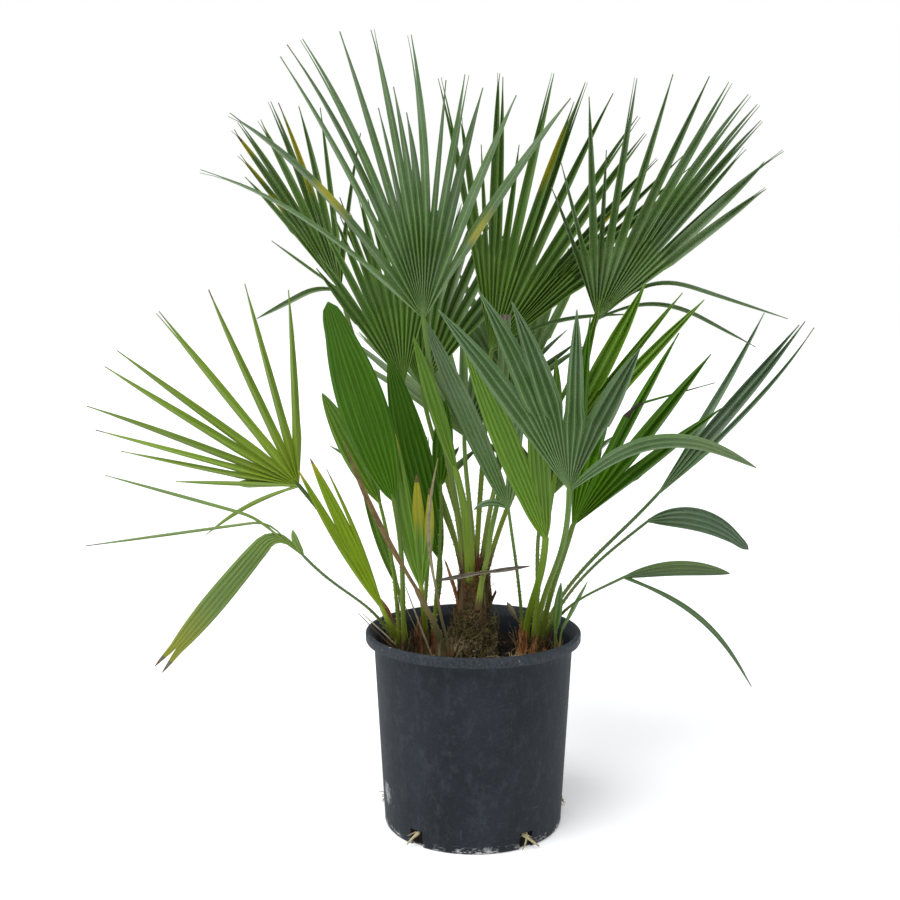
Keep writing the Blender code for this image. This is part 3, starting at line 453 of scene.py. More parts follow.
FIRST_LOBE = 100
LOOKS = {
    "frond_front_left": Look(widest=0.0106, flare=1.5, double=(4, 10, 12),
                             aged=((1, 0.34, 0.56, 1), (15, 0.14, 0.34, 1))),
    "frond_upper_left": Look(widest=0.0100, double=(5, 3),
                             patches=((2, 0.90, 1, "tip_brown"), (6, 0.94, 1, "tip_brown")),
                             aged=((6, 0.25, 0.98, 0), (1, 0.55, 1, 1), (1, 0.2, 0.5, -1),
                                   (2, 0.7, 0.95, 0))),
    # This blade takes the lighter copy of mid_green, painted lighter to lift the shade it lies in.
    "frond_behind_left": Look(widest=0.0108, green="fresh_green"),
    "frond_back_centre": Look(widest=0.0118, double=(6, 8, 10, 11, 0),
                              aged=((7, 0.42, 0.92, -1), (13, 0.5, 0.8, 1))),
    "frond_upper_right": Look(widest=0.0112, double=(7, 8, 9, 10, 4), green="dusky_green"),
    "frond_left": Look(stem="shade_green", split=0.1, dry=0.35, twist=14, widest=0.0105),
    "frond_right_front": Look(split=0.1, dry=0, twist=8, widest=0.0275, pleats=3, green="slate_green",
                              age=0.09, aged=((100, 0.36, 1.7, 0),)),
    "frond_right": sound(twist=10, widest=0.0165, pleats=2, green="vivid_green", tip="broken",
                         patches=((100, 0.58, 0.66, "tip_dark"),)),
    "frond_right_behind": sound(twist=12, widest=0.0165, pleats=2),
    "frond_far_right": sound(stem="shade_blue", twist=12, widest=0.0130, green="blue_green"),
    "leaf_left_hanging": Look(patches=((100, 0.93, 0.97, "tip_grey"), (100, 0.97, 1, "tip_brown")),
                              tip="split", green="olive_green", stem="shade_blue", age=0.75,
                              aged=((100, 0.52, 2, 0),), rolls=((0, 62), (0.16, 30), (0.30, -8), (1, 4)),
                              slim=((0, 0.40), (0.10, 0.42), (0.22, 0.72), (0.45, 0.74), (0.8, 0.92),
                                    (1, 1))),
    "leaf_left_broad": sound(tip="blunt", green="vivid_green"),
    "leaf_left_young": sound(slim=((0, 0.85), (1, 0.80)), twist=6, thorns=False, green="lime_green",
                             aged=((100, 0.86, 1.1, 0), (101, 0.90, 1.1, 0)),
                             patches=((100, 0.965, 1, "tip_brown"), (102, 0.95, 1, "tip_grey"))),
    "leaf_middle_young": Look(split=0, dry=1, twist=6, thorns=False, green="bright_green",
                              aged=((100, 0.80, 1.1, 0), (101, 0.40, 1.4, 0), (102, 0.35, 1.4, 0)),
                              patches=((101, 0.93, 1, "tip_brown"), (102, 0.93, 1, "tip_brown"))),
    "leaf_middle_dark": sound(twist=8, green="vivid_green"),
    "leaf_middle_small": sound(twist=8, green="vivid_green"),
    "leaf_trunk_narrow": sound(twist=8, stalk=1.6, flare=2.3, green="bright_green",
                               path=((-0.0030, -0.0060, 0.322), (-0.0036, -0.0110, 0.338),
                                     (-0.0042, -0.0150, 0.354))),
    "frond_centre": sound(slim=((0, 1), (0.25, 0.80), (1, 0.80)), twist=10),
    "leaf_front_two_lobed": sound(slim=((0, 1), (0.20, 0.78), (1, 0.75)), twist=8, thorns=False),
    "leaf_right_arching": Look(tip="blunt", green="shade_blue", stem="shade_blue",
                               rolls=((0, 20), (0.5, -12), (1, -35)), patches=((100, 0.985, 1, "tip_dark"),)),
    "leaf_right_low": Look(rolls=((0, 40), (1, 25)), dry=0, green="shade_green", stem="shade_blue",
                           age=0.09, aged=((100, 0.10, 1.2, -1),)),
    "spear_leaf": Look(tip="cut", ends=0.93, patches=((100, 0.955, 1, "dry_grey"),),
                       path=((0.0060, -0.0275, 0.306), (0.0100, -0.0290, 0.341), (0.0205, -0.0270, 0.389))),
    "dry_leaf_long": Look(stalk=1.15),
}


@dataclass
class Leaf:
    """A green: its blade, its tint near the hub, the colour of its pale midrib lines, partly painted
    highlight, how hazy it is, and its gloss.
    """
    blade: tuple
    hub: tuple
    rib: tuple
    haze: float
    gloss: float


LEAVES = {
    "grey_green": Leaf((0.053, 0.112, 0.026), (0.105, 0.190, 0.034), (0.210, 0.310, 0.130), 0.40, 0.45),
    "mid_green": Leaf((0.072, 0.142, 0.024), (0.120, 0.205, 0.032), (0.200, 0.295, 0.105), 0.34, 0.40),
    "deep_green": Leaf((0.046, 0.105, 0.012), (0.095, 0.170, 0.018), (0.150, 0.250, 0.055), 0.12, 0.35),
    "bright_green": Leaf((0.072, 0.166, 0.008), (0.135, 0.235, 0.014), (0.200, 0.330, 0.050), 0.05, 0.25),
    "yellow_green": Leaf((0.128, 0.215, 0.016), (0.195, 0.270, 0.014), (0.250, 0.350, 0.060), 0.08, 0.25),
    "lime_green": Leaf((0.128, 0.212, 0.004), (0.190, 0.268, 0.004), (0.230, 0.330, 0.020), 0.03, 0.14),
    "vivid_green": Leaf((0.028, 0.092, 0.002), (0.068, 0.160, 0.004), (0.100, 0.205, 0.018), 0.03, 0.12),
    # A lighter copy of mid_green, painted lighter to lift the shade that falls on the blade behind on the
    # left.
    "fresh_green": Leaf((0.082, 0.170, 0.024), (0.130, 0.235, 0.030), (0.210, 0.310, 0.090), 0.20, 0.35),
    "olive_green": Leaf((0.110, 0.186, 0.028), (0.145, 0.230, 0.030), (0.220, 0.300, 0.090), 0.22, 0.30),
    "dusky_green": Leaf((0.046, 0.098, 0.018), (0.085, 0.152, 0.020), (0.160, 0.240, 0.095), 0.44, 0.45),
    "shade_green": Leaf((0.026, 0.064, 0.012), (0.052, 0.105, 0.016), (0.150, 0.240, 0.085), 0.18, 0.40),
    "shade_blue": Leaf((0.050, 0.100, 0.046), (0.085, 0.150, 0.048), (0.190, 0.280, 0.150), 0.38, 0.45),
    "slate_green": Leaf((0.046, 0.106, 0.026), (0.088, 0.165, 0.030), (0.200, 0.300, 0.130), 0.34, 0.40),
    "blue_green": Leaf((0.084, 0.148, 0.076), (0.110, 0.190, 0.060), (0.220, 0.310, 0.170), 0.50, 0.50),
}

# Plain colours with their roughness, for what has its own place on a blade, and for dead parts
PLAIN = {
    "tip_brown": ((0.130, 0.078, 0.038), 0.80),
    "tip_dark": ((0.030, 0.022, 0.016), 0.80),
    "tip_grey": ((0.150, 0.145, 0.105), 0.80),
    "thorn": ((0.330, 0.290, 0.080), 0.60),
    "fibre_dark": ((0.030, 0.018, 0.010), 0.95),
    "fibre_brown": ((0.095, 0.055, 0.026), 0.95),
    "fibre_tan": ((0.300, 0.220, 0.110), 0.90),
    "fibre_olive": ((0.150, 0.140, 0.046), 0.95),
    "fibre_red": ((0.160, 0.048, 0.018), 0.95),
    "fibre_pale": ((0.420, 0.350, 0.240), 0.85),
    "crumb_dark": ((0.008, 0.006, 0.005), 0.95),
    "crumb_brown": ((0.038, 0.024, 0.014), 0.95),
    "crumb_pale": ((0.160, 0.120, 0.070), 0.90),
}

# Dead blades, sheaths and root ends, with streaks along them: dark colour, light colour
PAPERY = {
    "root": ((0.260, 0.230, 0.110), (0.500, 0.450, 0.290)),
    "dry_brown": ((0.080, 0.054, 0.020), (0.210, 0.150, 0.062)),
    "dry_pale": ((0.150, 0.128, 0.070), (0.300, 0.262, 0.155)),
    "dry_grey": ((0.080, 0.065, 0.050), (0.240, 0.210, 0.160)),
    "dry_orange": ((0.200, 0.075, 0.022), (0.420, 0.210, 0.080)),
    "sheath_dark": ((0.036, 0.024, 0.012), (0.120, 0.085, 0.040)),
    "sheath_brown": ((0.080, 0.050, 0.022), (0.230, 0.155, 0.072)),
    "sheath_red": ((0.150, 0.060, 0.022), (0.400, 0.185, 0.075)),
}


UP = Vector((0, 0, 1))


def outward(turn):
    """The way out from an upright axis, at a turn from the front."""
    return Vector((math.sin(turn), -math.cos(turn), 0))


def beside(turn):
    """The way round an upright axis, at a turn from the front."""
    return Vector((math.cos(turn), math.sin(turn), 0))


def turns(count):
    """Even steps round a circle."""
    return [2 * math.pi * step / count for step in range(count)]


def direction(frond, angle):
    """The way a part of the blade points, at an angle from upright in the blade's plane."""
    lean, turn = math.radians(frond.lean), math.radians(frond.turn)
    up = Vector((math.sin(turn) * math.sin(lean), -math.cos(turn) * math.sin(lean), math.cos(lean)))
    angle = math.radians(angle)
    return up * math.cos(angle) + beside(turn) * math.sin(angle)


def upper_side(frond):
    """The side of the blade that is turned up, into which a fan is cupped."""
    front = direction(frond, 90).cross(direction(frond, 0))
    return front if front.z >= 0 else -front


def smooth_step(value):
    """0 below 0, 1 above 1, and an even change between."""
    value = min(max(value, 0.0), 1.0)
    return value * value * (3 - 2 * value)


def walk(frond, length, stations, angle_at):
    """Points at shares of a length, along a line whose angle changes on the way."""
    place, reached, line = Vector(frond.hub), 0.0, []
    for share in stations:
        steps = max(1, round((share - reached) * LINE_STEPS))
        step = (share - reached) / steps
        for _ in range(steps):
            place = place + direction(frond, angle_at(reached + step / 2)) * length * step
            reached += step
        line.append(place.copy())
    return line


def fan_line(frond, ray, stations):
    """Points along one segment of a fan, which bends to its side and is cupped."""
    fan = frond.fan
    off_middle = (2 * ray.angle - fan.start - fan.end) / (fan.end - fan.start)
    line = walk(frond, ray.length, stations, lambda share: ray.angle + ray.bend * share ** 2)
    rise = fan.cup * off_middle ** 2 * ray.length
    upper = upper_side(frond)
    return [point + upper * (rise + ray.lift * share) * share for point, share in zip(line, stations)]


def lobe_line(frond, lobe, stations):
    """Points along a lobe, which may fold over part of the way."""
    fall = lobe.angle if lobe.fall is None else lobe.fall

    def angle_at(share):
        past = (share - lobe.fold + lobe.ease) / (2 * lobe.ease)
        return lobe.angle + (fall - lobe.angle) * smooth_step(past)

    line = walk(frond, lobe.length, stations, angle_at)
    upper = upper_side(frond)
    return [point + upper * lobe.bow * lobe.length * share ** 2 for point, share in zip(line, stations)]


def fan_rays(frond):
    """The segments of a fan from left to right, placed by its table or else by a seeded rule."""
    fan = frond.fan
    chance = random.Random(frond.name)
    rays = [Ray(*ray) for ray in RAYS.get(frond.name, ())]
    pitch = (fan.end - fan.start) / fan.count
    for number in range(0 if rays else fan.count):
        angle = fan.start + (number + 0.5 + chance.uniform(-0.2, 0.2)) * pitch
        across = (number + 0.5) / fan.count * 2 - 1
        edge = fan.left if across < 0 else fan.right
        length = fan.length * (1 - (1 - edge) * across ** 2) * chance.uniform(0.90, 1.02)
        rays.append(Ray(angle, length, fan.droop * math.sin(math.radians(angle))))
    for ray in rays:
        ray.lift = chance.uniform(-0.03, 0.03) * fan.length
    return rays


def fan_borders(frond, rays):
    """Where the segments part, a little nearer the hub in a wide gap: rays as long as the joined part."""
    fan = frond.fan
    angles = [ray.angle for ray in rays]
    usual = (angles[-1] - angles[0]) / (len(rays) - 1)
    gaps = [(angles[0] - usual / 2, 1.0)]
    for left, right in zip(angles, angles[1:]):
        gaps.append(((left + right) / 2, min(max(usual / (right - left), 0.5), 1.2) ** 0.5))
    gaps.append((angles[-1] + usual / 2, 1.0))
    return [Ray(angle, fan.length * fan.joined * nearer, 0.0) for angle, nearer in gaps]


class Nodes:
    """A material's nodes, joined up in a short form, and the colour they have built up so far."""

    def __init__(self, name):
        self.material = bpy.data.materials.new(name)
        self.material.use_nodes = True
        self.tree = self.material.node_tree
        self.shader = self.tree.nodes["Principled BSDF"]
        self.colour = None

    def add(self, kind, settings=None, **links):
        """A node with settings, whose inputs are numbers, colours or the sockets of other nodes."""
        node = self.tree.nodes.new("ShaderNode" + kind)
        for key, value in (settings or {}).items():
            setattr(node, key, value)
        for key, value in links.items():
            self.join(node.inputs[int(key[1:])], value)
        return node

    def join(self, socket, value):
        """Links a socket, or sets it where the value is a number or colour."""
        if isinstance(value, bpy.types.NodeSocket):
            self.tree.links.new(value, socket)
        elif isinstance(value, tuple) and socket.type == "RGBA":
            socket.default_value = (*value, 1)
        else:
            socket.default_value = value

    def attribute(self, name):
        """A number that the mesh carries."""
        return self.add("Attribute", {"attribute_name": name}).outputs["Fac"]

    def around(self, stretch=(1, 1, 1)):
        """The place on the object in metres, stretched."""
        place = self.add("TexCoord").outputs["Object"]
        return self.add("Mapping", i0=place, i3=stretch).outputs["Vector"]

    def noise(self, place, scale, detail, roughness):
        """Even noise from about 0.2 to 0.8."""
        node = self.add("TexNoise", i0=place)
        for key, value in (("Scale", scale), ("Detail", detail), ("Roughness", roughness)):
            node.inputs[key].default_value = value
        return node.outputs["Fac"]

    def cloud(self, scale, detail=3, roughness=0.55, stretch=(1, 1, 1)):
        """Noise by the place on the object."""
        return self.noise(self.around(stretch), scale, detail, roughness)

    def streaks(self, stretch, scale, detail=3, roughness=0.55):
        """Noise by the blade's own coordinates in metres, drawn out along it."""
        place = self.add("UVMap", {"uv_map": "blade"}).outputs["UV"]
        place = self.add("Mapping", i0=place, i3=(1, stretch, 1)).outputs["Vector"]
        return self.noise(place, scale, detail, roughness)

    def spread(self, value, low, high, start=0.0, end=1.0):
        """Stretches the range from low to high over start to end, and holds it there."""
        return self.add("MapRange", {"clamp": True}, i0=value, i1=low, i2=high, i3=start,
                        i4=end).outputs["Result"]

    def mix(self, share, one, other, blend="MIX"):
        """Makes the colour a mix of two."""
        node = self.add("Mix", {"data_type": "RGBA", "blend_type": blend}, i0=share, i6=one, i7=other)
        self.colour = node.outputs[2]

    def cover(self, share, tint):
        """Covers a share of the colour so far with a tint."""
        self.mix(share, self.colour, tint)

    def layer(self, value, low, high, most, tint):
        """Covers the colour so far with a tint, from nothing at low to most of it at high."""
        self.cover(self.spread(value, low, high, 0.0, most), tint)

    def plus(self, one, other, operation="ADD"):
        """The sum of two numbers."""
        return self.add("Math", {"operation": operation}, i0=one, i1=other).outputs[0]

    def times(self, one, other):
        """The product of two numbers."""
        return self.plus(one, other, "MULTIPLY")

    def bump(self, height, distance, strength):
        """Fine relief on the surface."""
        node = self.add("Bump")
        for key, value in (("Strength", strength), ("Distance", distance), ("Height", height)):
            self.join(node.inputs[key], value)
        self.join(self.shader.inputs["Normal"], node.outputs["Normal"])

    def finish(self, roughness, gloss):
        """Feeds the shader."""
        self.join(self.shader.inputs["Base Color"], self.colour)
        self.join(self.shader.inputs["Roughness"], roughness)
        self.shader.inputs["Specular IOR Level"].default_value = gloss
        return self.material


def scaled(colour, share):
    """A colour made darker or lighter."""
    return tuple(share * part for part in colour)


AGED_COLOUR = (0.280, 0.265, 0.012)
HAZE, SPECKS, TIP_HAZE = (0.150, 0.215, 0.120), (0.300, 0.370, 0.260), (0.128, 0.175, 0.130)


def leaf_material(name, leaf):
    """A living blade: fine veins, pale midrib lines that are partly their own colour and partly painted
    highlight along the folds, a lighter hub, specks, and yellow where it has aged.
    """
    nodes = Nodes(name)
    veins, bands = nodes.streaks(0.02, 1100, 2), nodes.streaks(0.05, 260, 2)
    cloud, specks = nodes.cloud(18, 4), nodes.cloud(620, 2)
    share, tone = nodes.attribute("share"), nodes.attribute("tone")
    nodes.mix(nodes.spread(veins, 0.32, 0.68), scaled(leaf.blade, 0.62), scaled(leaf.blade, 1.30))
    nodes.layer(bands, 0.40, 0.65, 0.45, leaf.hub)
    nodes.cover(nodes.spread(share, 0.0, 0.42, 0.70, 0.0), leaf.hub)
    nodes.layer(cloud, 0.40, 0.75, leaf.haze, HAZE)
    nodes.layer(specks, 0.58, 0.72, leaf.haze, SPECKS)
    nodes.layer(share, 0.50, 1.0, 0.60 * leaf.haze, TIP_HAZE)
    # Pale lines along the ridges and valleys of the folds: partly the veins' own colour, partly painted
    # highlight.
    nodes.cover(nodes.times(nodes.attribute("rib"), 0.70), leaf.rib)
    grey = nodes.add("CombineColor", i0=tone, i1=tone, i2=tone).outputs[0]
    nodes.mix(1.0, nodes.colour, grey, "MULTIPLY")
    nodes.cover(nodes.times(nodes.attribute("aged"), nodes.spread(veins, 0.25, 0.6, 0.55, 1.0)), AGED_COLOUR)
    nodes.bump(veins, 0.0004, 0.45)
    return nodes.finish(nodes.spread(cloud, 0.3, 0.7, 0.34, 0.50), leaf.gloss)


STALK_BASE, STALK_FOOT = (0.260, 0.300, 0.020), (0.085, 0.046, 0.018)


def stalk_material(name, leaf):
    """A living stalk: yellow-green near its base, streaked along it, with a brown foot."""
    nodes = Nodes(name)
    streaks, share = nodes.streaks(0.03, 700), nodes.attribute("share")
    base = tuple(0.45 * part + 0.55 * yellow for part, yellow in zip(leaf.hub, STALK_BASE))
    nodes.mix(nodes.spread(share, 0.10, 0.60), base, leaf.hub)
    nodes.layer(streaks, 0.35, 0.7, 0.6, scaled(leaf.hub, 0.45))
    foot = nodes.plus(nodes.spread(share, 0.01, 0.13, 1.0, 0.0), nodes.spread(streaks, 0.2, 0.6))
    nodes.layer(foot, 0.95, 1.35, 0.95, STALK_FOOT)
    nodes.bump(streaks, 0.0004, 0.4)
    return nodes.finish(0.48, 0.25)


DEAD_OLIVE, DEAD_BROWN, DEAD_STREAK = (0.150, 0.158, 0.058), (0.160, 0.106, 0.046), (0.075, 0.055, 0.028)


def dead_stalk_material():
    """A dead stalk: olive-beige at its foot, reddish brown further up."""
    nodes = Nodes("stalk_dead")
    streaks = nodes.streaks(0.03, 700, 4, 0.7)
    nodes.mix(nodes.spread(nodes.attribute("share"), 0.35, 0.95), DEAD_OLIVE, DEAD_BROWN)
    nodes.layer(streaks, 0.35, 0.65, 0.7, DEAD_STREAK)
    nodes.bump(streaks, 0.0005, 0.6)
    return nodes.finish(0.8, 0.2)


def papery_material(name, dark, light):
    """Dead blade or sheath: streaked along it and blotched."""
    nodes = Nodes(name)
    streaks = nodes.streaks(0.05, 600, 4, 0.7)
    nodes.mix(nodes.spread(streaks, 0.35, 0.65), dark, light)
    nodes.layer(nodes.cloud(90, 4), 0.45, 0.7, 0.6, scaled(dark, 0.5))
    nodes.bump(streaks, 0.0006, 0.6)
    return nodes.finish(0.85, 0.2)


def plain_material(name, colour, roughness):
    """A colour that has its own place, only a little uneven."""
    nodes = Nodes(name)
    nodes.mix(nodes.spread(nodes.cloud(160), 0.3, 0.7), scaled(colour, 0.72), scaled(colour, 1.22))
    return nodes.finish(roughness, 0.2)


BARK_DARK, BARK_LIGHT, BARK_FLECK = (0.010, 0.007, 0.005), (0.062, 0.042, 0.022), (0.110, 0.085, 0.040)
SOIL_DARK, SOIL_LIGHT, SOIL_FLECK = (0.004, 0.003, 0.003), (0.016, 0.012, 0.008), (0.070, 0.045, 0.024)


def bark_material():
    """Dark brown stem under the fibres."""
    nodes = Nodes("bark")
    coarse, fine = nodes.cloud(190, 5, 0.7, (1, 1, 0.35)), nodes.cloud(900, stretch=(1, 1, 0.2))
    nodes.mix(nodes.spread(coarse, 0.35, 0.65), BARK_DARK, BARK_LIGHT)
    nodes.layer(fine, 0.5, 0.7, 0.5, BARK_FLECK)
    nodes.bump(nodes.plus(coarse, fine), 0.002, 0.7)
    return nodes.finish(0.95, 0.15)


def soil_material():
    """Dark, damp potting soil with brown flecks."""
    nodes = Nodes("soil")
    lumps = nodes.cloud(160, 6, 0.7)
    nodes.mix(nodes.spread(lumps, 0.35, 0.65), SOIL_DARK, SOIL_LIGHT)
    nodes.layer(nodes.cloud(700), 0.62, 0.74, 0.5, SOIL_FLECK)
    nodes.bump(lumps, 0.003, 0.8)
    return nodes.finish(0.95, 0.12)


PLASTIC_DARK, PLASTIC_LIGHT = (0.0085, 0.0115, 0.0160), (0.0175, 0.0220, 0.0285)
PLASTIC_EDGE_SHEEN, PLASTIC_PALER_RIM = (0.055, 0.066, 0.080), (0.062, 0.074, 0.084)
PLASTIC_GRAIN, PLASTIC_MOTTLE = (0.045, 0.054, 0.066), (0.046, 0.055, 0.066)
PLASTIC_SCRATCH, PLASTIC_SCORE = (0.110, 0.125, 0.145), (0.120, 0.135, 0.155)
CHALK_FOOT, CHALK_LIP, CHALK_SCUFF = (0.400, 0.410, 0.400), (0.420, 0.430, 0.430), (0.330, 0.350, 0.370)


def pot_material():
    """Slate plastic: dusty haze, painted sheen down its left and right sides, fine scratches, a paler rim,
    and chalky scuffs near the foot.
    """
    nodes = Nodes("pot_plastic")
    place = nodes.add("SeparateXYZ", i0=nodes.around())
    height, sideways = place.outputs["Z"], place.outputs["X"]
    haze, grain, patchy = nodes.cloud(15, 5, 0.65, (1, 1, 0.55)), nodes.cloud(260, 4, 0.7), nodes.cloud(34)
    upright, slanting = nodes.cloud(300, 3, 0.75, (1, 1, 0.07)), nodes.cloud(260, 4, 0.8, (0.1, 0.1, 1))
    broad, mottled = nodes.cloud(85, 4, 0.7, (1, 1, 0.3)), nodes.cloud(75, 6, 0.75, (1, 1, 0.6))
    nodes.mix(nodes.spread(haze, 0.35, 0.68), PLASTIC_DARK, PLASTIC_LIGHT)
    # Painted sheen: the pot's left and right sides, as seen from the front, are streaked lighter to stand for
    # a grazing reflection.
    edges = nodes.plus(nodes.spread(sideways, -0.125, -0.06, 0.10, 0.0),
                       nodes.spread(sideways, 0.080, 0.130, 0.0, 0.11))
    nodes.cover(nodes.times(edges, nodes.spread(broad, 0.42, 0.64)), PLASTIC_EDGE_SHEEN)
    nodes.layer(grain, 0.5, 0.75, 0.22, PLASTIC_GRAIN)
    scratched = nodes.times(nodes.spread(upright, 0.66, 0.74, 0.0, 0.28), nodes.spread(patchy, 0.48, 0.60))
    nodes.cover(scratched, PLASTIC_SCRATCH)
    nodes.layer(mottled, 0.50, 0.68, 0.34, PLASTIC_MOTTLE)
    scored = nodes.times(nodes.spread(slanting, 0.58, 0.72, 0.0, 0.30), nodes.spread(patchy, 0.47, 0.36))
    nodes.cover(scored, PLASTIC_SCORE)
    lip = POT_HEIGHT - LIP_HEIGHT
    # Paler from the lip up, mottled by the grain.
    rim = nodes.spread(height, lip - 0.002, lip + 0.002, 0.0, 0.44)
    nodes.cover(nodes.times(rim, nodes.spread(grain, 0.3, 0.65)), PLASTIC_PALER_RIM)
    chips = nodes.spread(nodes.cloud(125, 4, 0.7, (1, 1, 2.5)), 0.49, 0.56)
    foot = nodes.times(nodes.spread(height, 0.004, 0.012, 1.0, 0.0), nodes.spread(patchy, 0.44, 0.56))
    nodes.cover(nodes.times(chips, foot), CHALK_FOOT)
    lip_chips = nodes.spread(nodes.cloud(95, 4, 0.7), 0.64, 0.69)
    nodes.cover(nodes.times(lip_chips, nodes.spread(height, lip, lip + 0.004)), CHALK_LIP)
    nodes.cover(scuff(nodes), CHALK_SCUFF)
    nodes.bump(nodes.plus(grain, upright), 0.0006, 0.35)
    return nodes.finish(nodes.spread(haze, 0.3, 0.7, 0.52, 0.68), 0.15)


def scuff(nodes):
    """Where a chalky scuff covers the pot, low on its left."""
    away = nodes.add("VectorMath", {"operation": "DISTANCE"}, i0=nodes.around(), i1=SCUFF_PLACE)
    near = nodes.spread(away.outputs["Value"], 0.004, 0.034, 0.62, 0.0)
    patch = nodes.spread(nodes.plus(near, nodes.cloud(85, 3, 0.6, (1, 1, 0.45))), 0.86, 1.02)
    return nodes.times(patch, nodes.spread(nodes.cloud(260, 4, 0.75, (1, 1, 0.4)), 0.42, 0.54))


def floor_material():
    """A pale matt floor, lit a little from below as on a light table."""
    nodes = Nodes("floor_pale")
    nodes.mix(nodes.spread(nodes.cloud(1.5, 2), 0.3, 0.7), (0.90, 0.90, 0.90), (0.93, 0.93, 0.93))
    nodes.shader.inputs["Emission Color"].default_value = WHITE
    nodes.shader.inputs["Emission Strength"].default_value = FLOOR_GLOW
    return nodes.finish(0.8, 0.1)




class Surface:
    """Points and faces collected for one piece, with what its materials read."""

    def __init__(self):
        self.points = []
        self.places = []
        self.tones = []
        self.ribs_and_highlights = []
        self.shares = []
        self.aged = []
        self.faces = []
        self.finishes = []

    def row(self, points, across, along, share=0.5, tone=1.0, ribs_and_highlights=None, aged=None):
        """Adds a row of points and returns their numbers."""
        first = len(self.points)
        count = len(points)
        self.points.extend(points)
        self.places.extend((place, along) for place in across)
        self.shares.extend([share] * count)
        self.tones.extend(tone if isinstance(tone, list) else [tone] * count)
        self.ribs_and_highlights.extend(ribs_and_highlights or [0.0] * count)
        self.aged.extend(aged or [0.0] * count)
        return list(range(first, first + count))

    def face(self, corners, finish):
        """Adds one face."""
        self.faces.append(tuple(corners))
        self.finishes.append(finish)

    def band(self, low, high, finish, closed=False):
        """Joins two rows with faces, and round to the start where they are closed."""
        count = len(low)
        for number in range(count if closed else count - 1):
            after = (number + 1) % count
            self.face((low[number], low[after], high[after], high[number]), finish)

    def tube(self, rows, finish):
        """Joins closed rows one after another, and closes both ends."""
        self.face(reversed(rows[0]), finish)
        for low, high in zip(rows, rows[1:]):
            self.band(low, high, finish, closed=True)
        self.face(rows[-1], finish)


def put(name, data):
    """A new object in the scene."""
    thing = bpy.data.objects.new(name, data)
    bpy.context.scene.collection.objects.link(thing)
    return thing


def apply_modifiers(piece):
    """Makes what a piece's modifiers show into its mesh."""
    bpy.context.view_layer.update()
    mesh = bpy.data.meshes.new_from_object(piece.evaluated_get(bpy.context.evaluated_depsgraph_get()))
    piece.modifiers.clear()
    old, piece.data = piece.data, mesh
    bpy.data.meshes.remove(old)


def make_piece(name, surface, slot, nodes, thickness=0.0):
    """A mesh from a surface, riding on the body in place of some of its nodes."""
    mesh = bpy.data.meshes.new(name)
    mesh.from_pydata([tuple(point) for point in surface.points], [], surface.faces)
    used = sorted(set(surface.finishes))
    for finish in used:
        mesh.materials.append(MATERIALS[finish])
    numbers = {finish: number for number, finish in enumerate(used)}
    mesh.polygons.foreach_set("material_index", [numbers[finish] for finish in surface.finishes])
    mesh.polygons.foreach_set("use_smooth", [True] * len(mesh.polygons))
    corners = np.zeros(len(mesh.loops), dtype=np.int32)
    mesh.loops.foreach_get("vertex_index", corners)
    places = np.array(surface.places, dtype=np.float32)[corners]
    mesh.uv_layers.new(name="blade").data.foreach_set("uv", places.ravel())
    carried = {"tone": surface.tones, "rib": surface.ribs_and_highlights, "share": surface.shares, "aged": surface.aged}
    for key, values in carried.items():
        mesh.attributes.new(key, "FLOAT", "POINT").data.foreach_set("value", values)
    mesh.update()
    piece = put(name, mesh)
    if thickness:
        thicken(piece, thickness)
    piece.data.set_sharp_from_angle(angle=math.radians(SHARP_ANGLE))
    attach(piece, "root")
    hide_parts(*nodes)
    return piece


def thicken(piece, thickness):
    """Makes an open sheet into a thin closed one."""
    solid = piece.modifiers.new("thickness", "SOLIDIFY")
    solid.thickness = thickness
    solid.offset = 0
    apply_modifiers(piece)


def section(pleats):
    """Columns across a blade: place, fold from -1 in a valley to 1 on a ridge, and pale midrib colour, partly
    painted highlight.
    """
    columns = []
    for pleat in range(pleats):
        columns.extend(((pleat + place) * 2 / pleats - 1, fold, rib) for place, fold, rib in PLEAT)
    return columns + [(1.0, 1.0, PLEAT[0][2])]


def lengths_along(line):
    """How far each point of a line is from its start, along it."""
    lengths = [0.0]
    for before, after in zip(line, line[1:]):
        lengths.append(lengths[-1] + (after - before).length)
    return lengths


@dataclass
class Ribbon:
    """A pleated blade along a line. From the parting row on it is in two parts."""
    line: list
    across: list
    up: list
    widths: list
    folds: list
    shares: list
    starts_at: float = 0.0
    pleats: int = 1
    cup: float = 0.0
    parting: int = 0
    gap: float = 0.0
    tone: float = 1.0
    finish_at: object = None
    aged_at: object = None


def add_ribbon(surface, ribbon, first=None):
    """Adds a blade, from a row of points that is there already or from its own first row."""
    columns = section(ribbon.pleats)
    last = len(columns) - 1
    rows = len(ribbon.line)
    parting = ribbon.parting or rows - 1
    full = max(ribbon.widths)
    lengths = lengths_along(ribbon.line)

    def row(number, low, high, side):
        places, folds, ribs_and_highlights = zip(*columns[low:high + 1])
        width, depth = ribbon.widths[number], ribbon.folds[number]
        past = max(number - parting, 0) / max(rows - 1 - parting, 1)
        away = side * ribbon.gap * past ** 1.2
        points = []
        for place, fold in zip(places, folds):
            reach = place * width / 2 + away
            lift = fold * depth / 2 + ribbon.cup * place * place * width
            points.append(ribbon.line[number] + ribbon.across[number] * reach + ribbon.up[number] * lift)
        aged = [ribbon.aged_at(number / (rows - 1), place) for place in places]
        return surface.row(points, [place * full / 2 for place in places], ribbon.starts_at + lengths[number],
                           ribbon.shares[number], ribbon.tone, ribs_and_highlights, aged)

    def run(before, low, high, side, start, end):
        for number in range(start, end + 1):
            after = row(number, low, high, side)
            surface.band(before, after, ribbon.finish_at((number - 0.5) / (rows - 1)))
            before = after
        return before

    whole = run(first or row(0, 0, last, 0), 0, last, 0, 1, parting)
    if parting < rows - 1:
        middle = last // 2
        run(whole[:middle + 1], 0, middle, -1, parting + 1, rows - 1)
        run(whole[middle:], middle, last, 1, parting + 1, rows - 1)


